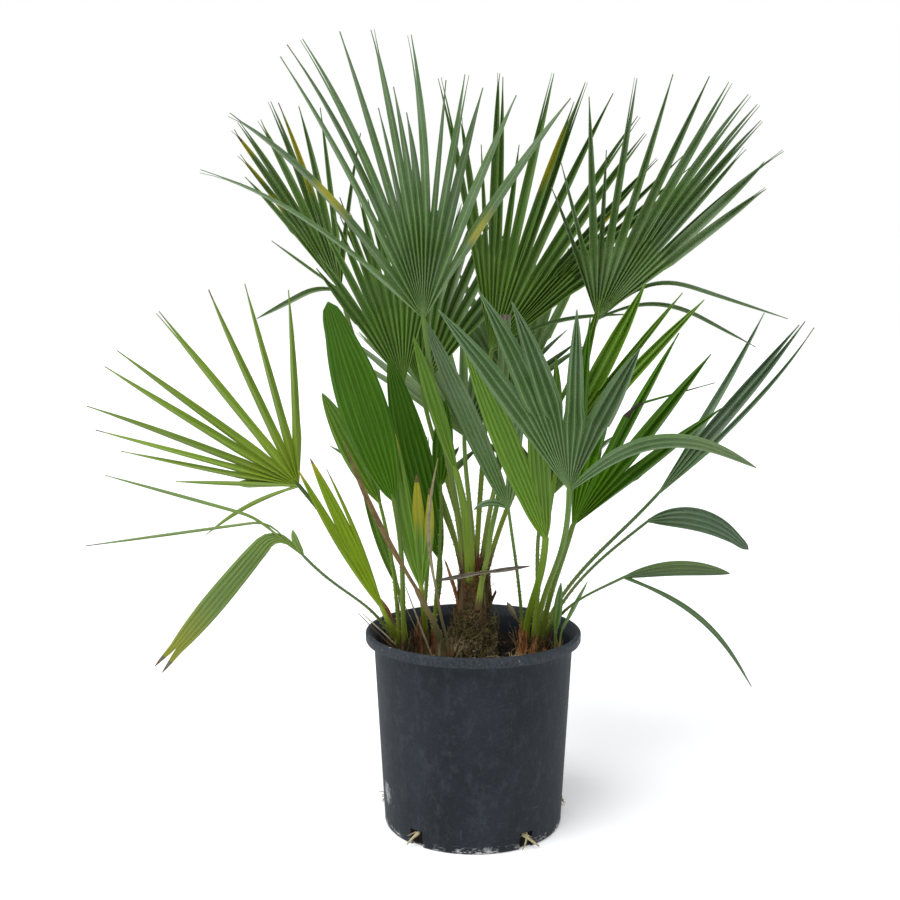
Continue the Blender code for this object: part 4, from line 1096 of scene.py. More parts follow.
def turned_frames(line, sideways, upper, rolls):
    """At each point of a line the two directions across it, rolled about it by an angle."""
    across_all, up_all = [], []
    last = len(line) - 1
    for number in range(len(line)):
        along = (line[min(number + 1, last)] - line[max(number - 1, 0)]).normalized()
        side = sideways[number]
        across = (side - along * side.dot(along)).normalized()
        up = along.cross(across)
        if up.dot(upper) < 0:
            up = -up
        turn = math.radians(rolls[number])
        across_all.append(across * math.cos(turn) + up * math.sin(turn))
        up_all.append(up * math.cos(turn) - across * math.sin(turn))
    return across_all, up_all


def between(table, share):
    """The value of a table of (share, value) pairs at a share."""
    shares, values = zip(*table)
    return float(np.interp(share, shares, values))


def finish_rule(look, number, colour, chance):
    """Says which finish a blade has at a share of its free length."""
    patches = [patch[1:] for patch in look.patches if patch[0] == number]
    dry_from = 1 - chance.uniform(0.02, 0.06) if chance.random() < look.dry else 2
    tip = chance.choice(("tip_brown", "tip_grey"))

    def finish_at(share):
        for start, end, finish in patches:
            if start <= share <= end:
                return finish
        return tip if share > dry_from else colour

    return finish_at


def aged_rule(look, number):
    """Says how yellow a blade has become at a share of its free length and a place across it."""
    spots = [spot[1:] for spot in look.aged if spot[0] == number]

    def aged_at(share, place):
        most = 0.0
        for start, end, side in spots:
            middle, half = (start + end) / 2, (end - start) / 2
            near = smooth_step((half - abs(share - middle)) / (0.6 * half))
            most = max(most, near * look.age * (1.0 if side * place > -0.2 else 0.12))
        return most

    return aged_at


def fan_edges(frond, look, rays):
    """Both ends of each border between the segments of a fan: near the hub, and where they part."""
    fan = frond.fan
    hub = Vector(frond.hub)
    middle = (fan.start + fan.end) / 2
    spread = max(1.0, BASE_SPREAD / (fan.end - fan.start))
    gaps = [right.angle - left.angle for left, right in zip(rays, rays[1:])]
    gaps = [gaps[0], *gaps, gaps[-1]]
    borders = fan_borders(frond, rays)
    reaches = [min(border.length * PARTED_DEEPER, look.widest * PARTING_WIDTH / math.radians(gap))
               for border, gap in zip(borders, gaps)]
    for number in range(1, len(reaches)):
        reaches[number] = min(reaches[number], reaches[number - 1] * PARTING_STEP)
    for number in range(len(reaches) - 2, -1, -1):
        reaches[number] = min(reaches[number], reaches[number + 1] * PARTING_STEP)
    edges = []
    for border, reach in zip(borders, reaches):
        border.length = reach
        near = hub + direction(frond, middle + (border.angle - middle) * spread) * HUB_RADIUS * HUB_START
        edges.append((near, fan_line(frond, border, (1,))[0]))
    return edges


def add_fan(surface, frond, look):
    """A fan: pleated where the segments are joined, then parted into folded segments."""
    chance = random.Random(frond.name + " blade")
    rays = fan_rays(frond)
    edges = fan_edges(frond, look, rays)
    spans = [(right[1] - left[1]).length for left, right in zip(edges, edges[1:])]
    usual = sum(spans) / len(spans)
    tones = [chance.uniform(0.80, 1.20) for _ in rays]
    last_row = add_joined_part(surface, frond, look, edges, tones, usual)
    columns = len(section(look.pleats)) - 1
    for number, ray in enumerate(rays):
        first = last_row[columns * number:columns * (number + 1) + 1]
        add_segment(surface, frond, look, ray, number, chance, first, edges[number:number + 2], tones[number])


def fold_depths(widths, pleats, steepness):
    """How deep the pleats of a blade are, from its widths and how steep they are."""
    return [min(width / pleats * steep, DEEPEST_FOLD) for width, steep in zip(widths, steepness)]


def add_segment(surface, frond, look, ray, number, chance, first, edges, tone):
    """One segment of a fan beyond the parting: a folded ribbon, some with a split tip."""
    upper = upper_side(frond)
    root = (edges[0][1] + edges[1][1]) / 2
    span = (edges[1][1] - edges[0][1]).length
    start = (root - Vector(frond.hub)).length / ray.length
    steps = [step / FREE_ROWS for step in range(FREE_ROWS + 1)]
    stations = [start + (1 - start) * step for step in steps]
    line = fan_line(frond, ray, stations)
    off = line[0] - root
    bob = chance.uniform(-FREE_BOB, FREE_BOB) * ray.length
    line = [point - off * (1 - step) ** 2 + upper * bob * math.sin(math.pi * step) * step
            for point, step in zip(line, steps)]
    roll = chance.uniform(-look.twist, look.twist)
    side = direction(frond, ray.angle + ray.bend / 2 + 90)
    across, up = turned_frames(line, [side] * len(line), upper, [roll * step ** 1.4 for step in steps])
    full = look.widest * ray.width
    doubled = number in look.double
    parted = doubled or chance.random() < look.split
    taper = SPLIT_TAPER if parted else POINTED_TAPER
    widths = [max((span + (full - span) * smooth_step(step / 0.16)) * (1 - step ** taper), TIP_WIDTH)
              for step in steps]
    parting = round(FREE_ROWS * chance.uniform(*(DOUBLE_PARTING if doubled else SPLIT_PARTING)))
    add_ribbon(surface, Ribbon(
        line, across, up, widths,
        fold_depths(widths, look.pleats, [FOLD_AT_PARTING + 0.15 * step for step in steps]),
        stations, starts_at=start * ray.length, pleats=look.pleats, parting=parting if parted else 0,
        gap=chance.uniform(*SPLIT_GAP), tone=tone,
        finish_at=finish_rule(look, number, blade_finish(frond, look), chance),
        aged_at=aged_rule(look, number)), first)


def add_joined_part(surface, frond, look, edges, tones, width):
    """The pleated middle of a fan, from the hub to where the segments part. Returns its last row."""
    upper = upper_side(frond)
    reach = (edges[len(edges) // 2][1] - Vector(frond.hub)).length
    columns = section(look.pleats)
    before = None
    for step in range(JOINED_ROWS + 1):
        share = step / JOINED_ROWS
        points, across, tone_row, ribs_and_highlights = [], [], [], []
        for number, tone in enumerate(tones):
            left = edges[number][0].lerp(edges[number][1], share)
            right = edges[number + 1][0].lerp(edges[number + 1][1], share)
            half = (right - left) / 2
            steepness = FOLD_NEAR_HUB + (FOLD_AT_PARTING - FOLD_NEAR_HUB) * share
            depth = min(2 * half.length / look.pleats * steepness, DEEPEST_FOLD)
            for place, fold, rib in columns[0 if number == 0 else 1:]:
                points.append((left + right) / 2 + half * place + upper * fold * depth / 2)
                across.append((number + (place + 1) / 2) * width)
                tone_row.append(tone)
                ribs_and_highlights.append(rib)
        row = surface.row(points, across, share * reach, share * reach / frond.fan.length, tone_row, ribs_and_highlights)
        if before:
            surface.band(before, row, blade_finish(frond, look))
        before = row
    return before


def blade_finish(frond, look):
    """The green of a blade, which may have its own tint."""
    return look.green or frond.colour


def add_lobe(surface, frond, lobe, number, look):
    """One undivided blade with several pleats."""
    chance = random.Random("%s lobe %d" % (frond.name, number))
    steps = [look.ends * step / LOBE_ROWS for step in range(LOBE_ROWS + 1)]
    line = lobe_line(frond, lobe, steps)
    front = direction(frond, 90).cross(direction(frond, 0))
    last = len(line) - 1
    sideways = [(line[min(number + 1, last)] - line[max(number - 1, 0)]).cross(front)
                for number in range(last + 1)]
    roll = chance.uniform(-look.twist, look.twist) * 0.6
    rolls = [between(look.rolls, step) if look.rolls and number == 0 else roll * step for step in steps]
    across, up = turned_frames(line, sideways, upper_side(frond), rolls)
    widths = [lobe_width(lobe, step, look.tip) * between(look.slim, step) for step in steps]
    pleats = max(1, round(lobe.width / PLEAT_WIDTH))
    parted = look.tip == "split" and number == 0
    add_ribbon(surface, Ribbon(
        line, across, up, widths,
        fold_depths(widths, pleats, [0.32 + 0.26 * (1 - step) ** 4 for step in steps]),
        [0.2 + 0.8 * step for step in steps], pleats=pleats, cup=LOBE_CUP if pleats > 1 else 0.0,
        parting=round(LOBE_ROWS * LOBE_PARTING) if parted else 0, gap=lobe.width * LOBE_GAP,
        tone=chance.uniform(0.9, 1.1),
        finish_at=finish_rule(look, FIRST_LOBE + number, blade_finish(frond, look), chance),
        aged_at=aged_rule(look, FIRST_LOBE + number)))


def lobe_width(lobe, share, tip):
    """The width of a lobe at a share of its length, by the shape of its tip."""
    width = lobe.width * math.sin(math.pi * share ** 0.9) ** 0.7 if 0 < share < 1 else 0
    if tip == "cut" and share > 0.5:
        width = lobe.width * 0.95
    if tip == "broken":
        width *= 1 - 0.62 * smooth_step((share - 0.56) / 0.05)
    if tip == "blunt" and share > 0.8:
        width = max(width, 0.55 * lobe.width * math.sqrt(max(1 - ((share - 0.8) / 0.2) ** 2, 0)))
    return max(width, min(HUB_RADIUS, lobe.width) * 0.7 * (1 - share), TIP_WIDTH)


def stalk_points(frond, look):
    """From a stem's side or from inside it, up through its top, to a little past the hub."""
    crown = CROWNS[frond.crown]
    foot = Vector((crown.top[0] + frond.foot[0], crown.top[1] + frond.foot[1], crown.top[2] + GAP))
    hub = Vector(frond.hub)
    if look.path:
        points = [Vector(point) for point in look.path[:-1]]
        foot = Vector(look.path[-1])
    elif frond.crown == "trunk":
        out = Vector((*frond.foot, 0))
        points = [foot + out * BASE_OUTWARD - UP * BASE_BELOW_TOP,
                  foot + out * BASE_OUTWARD * 0.8 - UP * (BASE_BELOW_TOP / 2)]
    else:
        root = Vector((crown.foot[0] + STALK_FOOT_INWARD * frond.foot[0],
                       crown.foot[1] + STALK_FOOT_INWARD * frond.foot[1], SOIL_TOP - STALK_INTO_SOIL))
        points = [root, root.lerp(foot, 0.5)]
    start = foot + UP * STALK_UPRIGHT
    pull = (hub - start).length * STALK_PULL
    leaving = start + UP.lerp((hub - start).normalized(), STALK_STRAIGHT) * pull
    arriving = hub - direction(frond, frond.arrive) * pull
    points.append(foot)
    for station in range(STALK_STATIONS + 1):
        t = station / STALK_STATIONS
        points.append(start * (1 - t) ** 3 + leaving * 3 * t * (1 - t) ** 2
                      + arriving * 3 * t ** 2 * (1 - t) + hub * t ** 3)
    middle = (frond.fan.start + frond.fan.end) / 2 if frond.fan else frond.lobes[0].angle
    points.append(hub + direction(frond, middle) * STALK_INTO_BLADE)
    return points


def add_stalk(surface, frond, look):
    """A stalk with a flattened upper side, a sheathing base and thorns along both edges."""
    chance = random.Random(frond.name + " stalk")
    line = stalk_points(frond, look)
    lengths = lengths_along(line)
    across, up = turned_frames(line, [direction(frond, 90)] * len(line), upper_side(frond), [0] * len(line))
    hidden = BASE_BELOW_TOP / lengths[-1] if frond.crown == "trunk" and not look.path else 0.0
    tone = chance.uniform(0.88, 1.12)
    rows = []
    for number, point in enumerate(line):
        share = lengths[number] / lengths[-1]
        radius = frond.stalk * look.stalk * (1 + (look.flare - 1) * (1 - share))
        flare = 1 + SHEATH_FLARE * (1 - smooth_step(lengths[number] / SHEATH_HEIGHT))
        if number == len(line) - 1:
            radius *= 0.35
        ring = []
        for turn in turns(STALK_COLUMNS):
            thick = 0.35 if math.sin(turn) > 0.1 else 0.8
            ring.append(point + across[number] * math.cos(turn) * radius * flare
                        + up[number] * math.sin(turn) * radius * thick)
        shown = max(share - hidden, 0.0) / (1 - hidden)
        places = [radius * column for column in range(STALK_COLUMNS)]
        rows.append(surface.row(ring, places, lengths[number], shown, tone))
    surface.tube(rows, stalk_finish(frond, look))
    if look.thorns and lengths[-1] > SHORTEST_THORNY_STALK:
        add_thorns(surface, frond, look, line, lengths, across, chance)


def stalk_finish(frond, look):
    """The finish of a stalk, which goes with its blade."""
    return "stalk_dead" if frond.colour.startswith("dry") else "stalk_" + (look.stem or frond.colour)


def add_thorns(surface, frond, look, line, lengths, across, chance):
    """Small thorns that point outwards and up along both edges of a stalk."""
    place = SHEATH_HEIGHT
    while place < 0.93 * lengths[-1]:
        number = max(k for k in range(len(lengths) - 1) if lengths[k] <= place)
        step = (place - lengths[number]) / (lengths[number + 1] - lengths[number])
        point = line[number].lerp(line[number + 1], step)
        along = (line[number + 1] - line[number]).normalized()
        share = place / lengths[-1]
        radius = frond.stalk * look.stalk * (1 + (look.flare - 1) * (1 - share))
        for side in (-1, 1):
            edge = across[number] * side
            size = THORN_LENGTH * chance.uniform(0.6, 1.2) * (1.1 - 0.6 * share)
            way = (edge + along * chance.uniform(0.5, 1.2)).normalized()
            add_thorn(surface, point + edge * radius * 0.8, way, along, size)
        place += THORN_SPACING * chance.uniform(0.6, 1.4)


def add_thorn(surface, root, way, along, length):
    """A closed thorn with a three-sided foot."""
    side = way.cross(along).normalized()
    wide = length * THORN_WIDTH
    foot = [root + side * wide - along * wide, root - side * wide - along * wide, root + along * wide * 1.5]
    row = surface.row(foot + [root + way * length], [0.0] * 4, 0.0)
    for corners in ((0, 1, 3), (1, 2, 3), (2, 0, 3), (2, 1, 0)):
        surface.face([row[corner] for corner in corners], "thorn")


def add_fibre(surface, start, heading, length, radius, curl, chance, finish, keep=None, rows=6):
    """A thin three-sided strand that bends at random, kept where it may be."""
    point, way = Vector(start), Vector(heading).normalized()
    rings = []
    for number in range(rows + 1):
        side = way.cross(Vector((0.31, 0.87, 0.38))).normalized()
        other = way.cross(side)
        thin = radius * (1 - 0.7 * number / rows)
        ring = [point + (side * math.cos(turn) + other * math.sin(turn)) * thin for turn in turns(3)]
        rings.append(surface.row(ring, [0.0, radius, 2 * radius], length * number / rows))
        way = (way + Vector([chance.gauss(0, curl) for _ in range(3)])).normalized()
        point = point + way * length / rows
        if keep:
            point = keep(point)
    surface.tube(rings, finish)


def add_crumb(surface, centre, size, chance, finish):
    """A rough eight-sided lump."""
    ways = [Vector(way) for way in ((1, 0, 0), (0, 1, 0), (-1, 0, 0), (0, -1, 0), (0, 0, 1), (0, 0, -1))]
    points = [centre + way * size * chance.uniform(0.5, 1.2) for way in ways]
    row = surface.row(points, [0.0] * 6, 0.0, tone=chance.uniform(0.7, 1.3))
    for number in range(4):
        after = (number + 1) % 4
        surface.face((row[number], row[after], row[4]), finish)
        surface.face((row[after], row[number], row[5]), finish)


def crown_at(crown, share):
    """The middle and the radius of a stem at a share of its height, by the source's rule."""
    height = SOIL_TOP + (crown.top[2] - SOIL_TOP) * share
    lean = smooth_step((share - 0.1) / 0.8)
    middle = Vector((crown.foot[0] + (crown.top[0] - crown.foot[0]) * lean,
                     crown.foot[1] + (crown.top[1] - crown.foot[1]) * lean, height))
    wider = (crown.foot_radius - crown.top_radius) * between(STEM_SWELL, share)
    return middle, crown.top_radius + wider


def around_stem(crown, share, turn, out=1.0):
    """A point on the side of a stem, a multiple of its radius from its middle."""
    middle, radius = crown_at(crown, share)
    return middle + outward(turn) * radius * out


def add_stem(surface, crown, rough, neck=1.0, rows=26, columns=64):
    """The stem itself, with a lumpy side, a narrower neck and a domed top."""
    rings = []
    for number in range(rows + 1):
        share = number / rows
        middle, radius = crown_at(crown, share)
        narrow = 0.92 - (1 - neck) * smooth_step((share - 0.45) / 0.5)
        ring = []
        for way in map(outward, turns(columns)):
            side = middle + way * radius
            lump = noise.noise(side * 90) + 0.5 * noise.noise(side * 260)
            ring.append(middle + way * radius * (narrow + rough * lump))
        rings.append(surface.row(ring, [radius * 6.28 * column / columns for column in range(columns)],
                                 middle.z, share))
    for inset in DOME_INSETS:
        ring = [middle + (surface.points[point] - middle) * inset for point in rings[-1]]
        rings.append(surface.row(ring, [0.0] * columns, middle.z, 1.0))
    surface.tube(rings, "bark")


def add_sheath(surface, crown, share, turn, chance, size, finish, open_out=0.25):
    """An old papery sheath that hugs a stem and ends in a ragged edge."""
    wide, tall = size
    columns, rows = SHEATH_COLUMNS, SHEATH_ROWS
    ragged = [chance.uniform(0.7, 1.0) * (1 - 0.5 * abs(2 * column / columns - 1) ** 2)
              for column in range(columns + 1)]
    middle, radius = crown_at(crown, share)
    lean = chance.uniform(-0.2, 0.2)
    before = None
    for number in range(rows + 1):
        step = number / rows
        points = []
        for column in range(columns + 1):
            place = 2 * column / columns - 1
            rise = step * ragged[column] * tall
            out = radius * 1.02 + open_out * rise * step + SHEATH_WAVE * math.sin(place * 14 + step * 5)
            around = turn + place * wide / (2 * max(radius, 0.008)) * (1 - 0.45 * step) + lean * step
            points.append(middle + outward(around) * out + UP * rise)
        row = surface.row(points, [column * wide / columns for column in range(columns + 1)], step * tall,
                          step, chance.uniform(0.95, 1.05))
        if before:
            surface.band(before, row, finish)
        before = row


def keep_near(crown, reach):
    """Says where a fibre may go: above the soil, and not far out from its stem."""
    def keep(point):
        share = min(max((point.z - SOIL_TOP) / (crown.top[2] - SOIL_TOP), 0), 1)
        middle, radius = crown_at(crown, share)
        flat = Vector((point.x - middle.x, point.y - middle.y, 0))
        most = radius + reach
        x, y = point.xy
        if flat.length > most:
            x, y = middle.x + flat.x * most / flat.length, middle.y + flat.y * most / flat.length
        return Vector((x, y, max(point.z, LOWEST_FIBRE)))
    return keep


def add_fibres(surface, crown, count, chance, low, high, length, reach, curl=0.45):
    """A shaggy, tangled coat of fibres on a stem, with other colours below than above."""
    keep = keep_near(crown, reach)
    for _ in range(count):
        share, turn = chance.uniform(0.0, 0.98), chance.uniform(0, 2 * math.pi)
        start = around_stem(crown, share, turn, 0.95)
        heading = (outward(turn) * chance.uniform(0.1, 0.7) + beside(turn) * chance.gauss(0, 0.9)
                   + UP * chance.gauss(0.5, 0.7))
        finishes = low if share + chance.gauss(0, 0.12) < 0.48 else high
        add_fibre(surface, start, heading, chance.uniform(*length), chance.uniform(*FIBRE_RADIUS), curl,
                  chance, "fibre_" + chance.choice(finishes), keep)


def make_trunk():
    """The short main stem: bark, old sheaths and a tangled coat of fibres."""
    crown = CROWNS["trunk"]
    chance = random.Random("trunk")
    bark = Surface()
    add_stem(bark, crown, 0.13, neck=0.66)
    make_piece("trunk_bark", bark, "bark", ["trunk"])
    crown = Crown(crown.foot, crown.top, crown.foot_radius * 1.02, crown.top_radius * NECK_NARROWER)
    sheaths = Surface()
    for number in range(TRUNK_SHEATHS):
        share = 0.10 + 0.72 * number / TRUNK_SHEATHS
        size = (chance.uniform(0.006, 0.018), chance.uniform(0.012, 0.030))
        finish = chance.choice(("sheath_dark", "sheath_dark", "sheath_dark", "sheath_brown"))
        add_sheath(sheaths, crown, share, number * GOLDEN_TURN, chance, size, finish,
                   chance.uniform(0.0, 0.16))
    for share, turn, size, finish, open_out in TRUNK_STUBS:
        add_sheath(sheaths, crown, share, math.radians(turn), chance, size, finish, open_out)
    make_piece("trunk_sheaths", sheaths, "bark", ["trunk"], SHEATH_THICKNESS)
    low = Crown(crown.foot, (*crown.top[:2], SOIL_TOP + 0.055), crown.foot_radius, crown.foot_radius * 0.86)
    fibres = Surface()
    for stem, (count, below, above, length, reach, curl) in zip((crown, crown, low), TRUNK_COATS):
        add_fibres(fibres, stem, count, chance, below, above, length, reach, curl)
    make_piece("trunk_fibres", fibres, "bark", ["trunk"])
    tufts = Surface()
    for turn, level, finish in TRUNK_TUFTS:
        for _ in range(TUFT_FIBRES):
            around = math.radians(turn + chance.gauss(0, 9))
            share = min(level + chance.uniform(-0.16, 0.02), 1.0)
            start = around_stem(crown, share, around, chance.uniform(0.45, 0.80))
            heading = (chance.gauss(0, 0.16), chance.gauss(0, 0.16), 1.0)
            add_fibre(tufts, start, heading, chance.uniform(0.020, 0.044), chance.uniform(0.0004, 0.0009),
                      0.10, chance, "fibre_" + finish)
    make_piece("trunk_tufts", tufts, "bark", ["trunk"])


def make_suckers():
    """The bases of the side shoots: a low stem, papery sheaths and fibres."""
    for name, sheath_finish, count, taller in SUCKER_SHEATHS:
        crown = CROWNS[name]
        chance = random.Random(name)
        stem = Surface()
        low = Crown(crown.foot, (*crown.top[:2], SOIL_TOP + 0.010), crown.foot_radius, crown.top_radius * 0.6)
        add_stem(stem, low, 0.16, rows=8, columns=36)
        add_fibres(stem, crown, 40 * count, chance, ("dark", "brown", "tan"), ("dark", "brown"),
                   (0.008, 0.028), 0.002)
        for tuft in range(round(SUCKER_TUFTS * count / 11)):
            turn = tuft * GOLDEN_TURN + chance.uniform(0, 0.5)
            middle = around_stem(crown, 0.3, turn, chance.uniform(0.55, 0.98))
            finish = "fibre_" + chance.choice(("brown", "tan", "red", "dark"))
            for _ in range(SUCKER_TUFT_FIBRES):
                start = middle + Vector((chance.gauss(0, 0.0016), chance.gauss(0, 0.0016), 0))
                start.z = SOIL_TOP + 0.002
                heading = (0.16 * math.sin(turn) + chance.gauss(0, 0.08),
                           -0.16 * math.cos(turn) + chance.gauss(0, 0.08), 1.0)
                add_fibre(stem, start, heading, chance.uniform(0.014, 0.046), chance.uniform(0.0003, 0.0008),
                          0.08, chance, finish)
        for foot, tip, radius, finish in DRY_STICKS if name == STICK_OWNER else ():
            reach = Vector(tip) - Vector(foot)
            add_fibre(stem, foot, reach, reach.length, radius, 0.02, chance, finish)
        make_piece(name + "_base", stem, "bark", [name])
        sheaths = Surface()
        for number in range(count):
            size = (crown.foot_radius * chance.uniform(0.30, 0.80), chance.uniform(0.014, 0.038) * taller)
            add_sheath(sheaths, crown, 0.02, number * GOLDEN_TURN + 0.4, chance, size,
                       chance.choice(sheath_finish), chance.uniform(-0.22, 0.10) / taller)
        make_piece(name + "_sheaths", sheaths, "bark", [name], SHEATH_THICKNESS)


def make_fronds():
    """A blade piece for each frond, and the stalks of each crown in one piece."""
    stalks = {name: Surface() for name in CROWNS}
    for frond in FRONDS:
        look = LOOKS.get(frond.name, Look())
        blade = Surface()
        if frond.fan:
            add_fan(blade, frond, look)
        for number, lobe in enumerate(frond.lobes):
            add_lobe(blade, frond, lobe, number, look)
        make_piece(frond.name + "_blade", blade, frond.colour, [frond.name], BLADE_THICKNESS)
        add_stalk(stalks[frond.crown], frond, look)
    for name, surface in stalks.items():
        theirs = [frond for frond in FRONDS if frond.crown == name]
        make_piece(name + "_stalks", surface, theirs[0].colour, [frond.name for frond in theirs])


def wall_radius(height):
    """The outer radius of the pot's tapered wall."""
    return BASE_RADIUS + (WALL_TOP_RADIUS - BASE_RADIUS) * height / (POT_HEIGHT - LIP_HEIGHT)


def turned_surface(profile, finish, steps, uneven=0.0):
    """A closed turned shape from a profile that starts and ends on the axis."""
    surface = Surface()
    middle = profile[1:-1]
    columns = []
    for turn in turns(steps):
        wave = uneven * (0.6 * math.sin(2 * turn + 0.7) + 0.4 * math.sin(3 * turn))
        points = [outward(turn) * radius * (1 + wave * height / POT_HEIGHT) + UP * height
                  for radius, height in middle]
        columns.append(surface.row(points, [radius for radius, _ in middle], turn))
    for step in range(steps):
        surface.band(columns[step - 1], columns[step], finish)
    for level, (_, height) in ((0, profile[0]), (-1, profile[-1])):
        centre = surface.row([UP * height], [0.0], 0.0)[0]
        for step in range(steps):
            corners = (columns[step - 1][level], columns[step][level], centre)
            surface.face(corners if level else reversed(corners), finish)
    return surface


def arc(centre, radius, start, end, steps):
    """Points on an arc of a profile, with angles in degrees."""
    angles = [math.radians(start + (end - start) * step / steps) for step in range(steps + 1)]
    return [(centre[0] + radius * math.cos(angle), centre[1] + radius * math.sin(angle)) for angle in angles]


def make_pot():
    """The tub: a tapered wall, a rolled lip over a small step, a rounded foot and five notches."""
    lip = POT_HEIGHT - LIP_HEIGHT
    inner = [(wall_radius(height) - WALL, height) for height in np.linspace(WALL, lip, 16)]
    outer = [(wall_radius(height), height) for height in np.linspace(lip - 0.004, 0.006, 22)]
    roll = arc((RIM_RADIUS - ROLL_RADIUS, POT_HEIGHT - ROLL_RADIUS), ROLL_RADIUS, 150, 0, 8)
    under = [(RIM_RADIUS - 0.0002, lip + 0.002), (RIM_RADIUS - 0.0012, lip),
             (wall_radius(lip) + 0.0012, lip - 0.0012)]
    foot = arc((BASE_RADIUS - 0.0035, FOOT_RADIUS), FOOT_RADIUS, 0, -90, 6)
    profile = [(0, WALL), *inner, *roll, *under, *outer, *foot, (0, 0)]
    pot = turned_surface(profile, "pot_plastic", POT_STEPS, POT_UNEVEN)
    cut_notches(make_piece("pot_shell", pot, "pot_plastic", ["pot"]))


def notch_turn(number):
    """The turn of a notch from the front."""
    return math.radians(FIRST_NOTCH + number * 360 / NOTCHES)


def cut_notches(piece):
    """Cuts the drainage notches out of the foot of the wall."""
    cutter = bmesh.new()
    for number in range(NOTCHES):
        turn = notch_turn(number)
        for corner in bmesh.ops.create_cube(cutter, size=1)["verts"]:
            place = corner.co
            corner.co = (outward(turn) * (BASE_RADIUS + place.y * NOTCH_DEPTH)
                         + beside(turn) * (place.x * NOTCH_WIDTH) + UP * (place.z * 2 * NOTCH_HEIGHT))
    mesh = bpy.data.meshes.new("notch_cutters")
    bmesh.ops.recalc_face_normals(cutter, faces=cutter.faces)
    cutter.to_mesh(mesh)
    cutter.free()
    blocks = put("notch_cutters", mesh)
    cut = piece.modifiers.new("notches", "BOOLEAN")
    cut.operation = "DIFFERENCE"
    cut.object = blocks
    apply_modifiers(piece)
    piece.data.set_sharp_from_angle(angle=math.radians(NOTCH_SHARP_ANGLE))
    bpy.data.objects.remove(blocks)


def on_soil(x, y, above=0.0):
    """A place on the uneven surface of the soil, or above it."""
    place = Vector((x, y, 0.0))
    level = SOIL_TOP + sum(height * noise.noise(place * scale) for height, scale in SOIL_LUMPS)
    return Vector((x, y, level + above))


def make_soil():
    """Soil that fills the pot, with a crumbly top, crumbs and loose root strands."""
    surface = Surface()
    edge = wall_radius(SOIL_TOP) - WALL - SOIL_GAP
    foot = wall_radius(WALL) - WALL - SOIL_GAP
    rings = [(edge * ring / SOIL_RINGS, None) for ring in range(1, SOIL_RINGS + 1)]
    rings.append((foot, WALL + SOIL_GAP))
    centre = surface.row([on_soil(0, 0)], [0.0], 0.0)[0]
    before = None
    for radius, level in rings:
        points = [on_soil(radius * math.sin(turn), -radius * math.cos(turn)) for turn in turns(SOIL_STEPS)]
        if level is not None:
            points = [Vector((*point.xy, level)) for point in points]
        row = surface.row(points, [radius] * SOIL_STEPS, radius)
        if before:
            surface.band(before, row, "soil", closed=True)
        else:
            for step in range(SOIL_STEPS):
                surface.face((centre, row[step], row[(step + 1) % SOIL_STEPS]), "soil")
        before = row
    surface.face(reversed(before), "soil")
    make_piece("soil_body", surface, "soil", ["soil"])
    litter = Surface()
    chance = random.Random("soil")
    for _ in range(CRUMBS):
        place = soil_place(chance, edge - 0.004)
        add_crumb(litter, place, chance.uniform(*CRUMB_SIZE) * chance.uniform(0.5, 1), chance,
                  chance.choice(("crumb_dark", "crumb_dark", "crumb_brown", "crumb_brown", "crumb_pale")))
    for _ in range(STRANDS):
        start = soil_place(chance, edge - 0.02)
        add_strand(litter, start, 0.25, (0.012, 0.045), (0.0003, 0.0008), 0.35, chance,
                   ("pale", "tan", "brown"), edge)
    for _ in range(FRONT_STRANDS):
        x, y = (chance.gauss(middle, FRONT_STRANDS_SPREAD) for middle in FRONT_STRANDS_AT)
        if math.hypot(x, y) <= edge - 0.03:
            add_strand(litter, on_soil(x, y, 0.002), 0.5, (0.015, 0.040), (0.0004, 0.0009), 0.45, chance,
                       ("pale", "tan"), edge)
    make_piece("soil_litter", litter, "soil", ["soil"])


def add_strand(surface, start, rise, lengths, radii, curl, chance, finishes, edge):
    """A loose root strand that lies on the soil, pointing anywhere."""
    turn = chance.uniform(0, 2 * math.pi)
    add_fibre(surface, start, beside(turn) + UP * rise, chance.uniform(*lengths), chance.uniform(*radii),
              curl, chance, "fibre_" + chance.choice(finishes), lambda point: keep_on_soil(point, edge),
              rows=STRAND_ROWS)


def soil_place(chance, reach):
    """A random place on the soil, even over its area."""
    radius, turn = reach * math.sqrt(chance.random()), chance.uniform(0, 2 * math.pi)
    return on_soil(radius * math.sin(turn), -radius * math.cos(turn), 0.0006)


def keep_on_soil(point, edge):
    """Keeps a strand lying on the soil, in the pot."""
    flat = Vector((point.x, point.y, 0))
    if flat.length > edge - 0.002:
        flat = flat.normalized() * (edge - 0.002)
    level = on_soil(flat.x, flat.y).z
    return Vector((flat.x, flat.y, min(max(point.z, level + 0.0004), level + STRAND_RISE)))


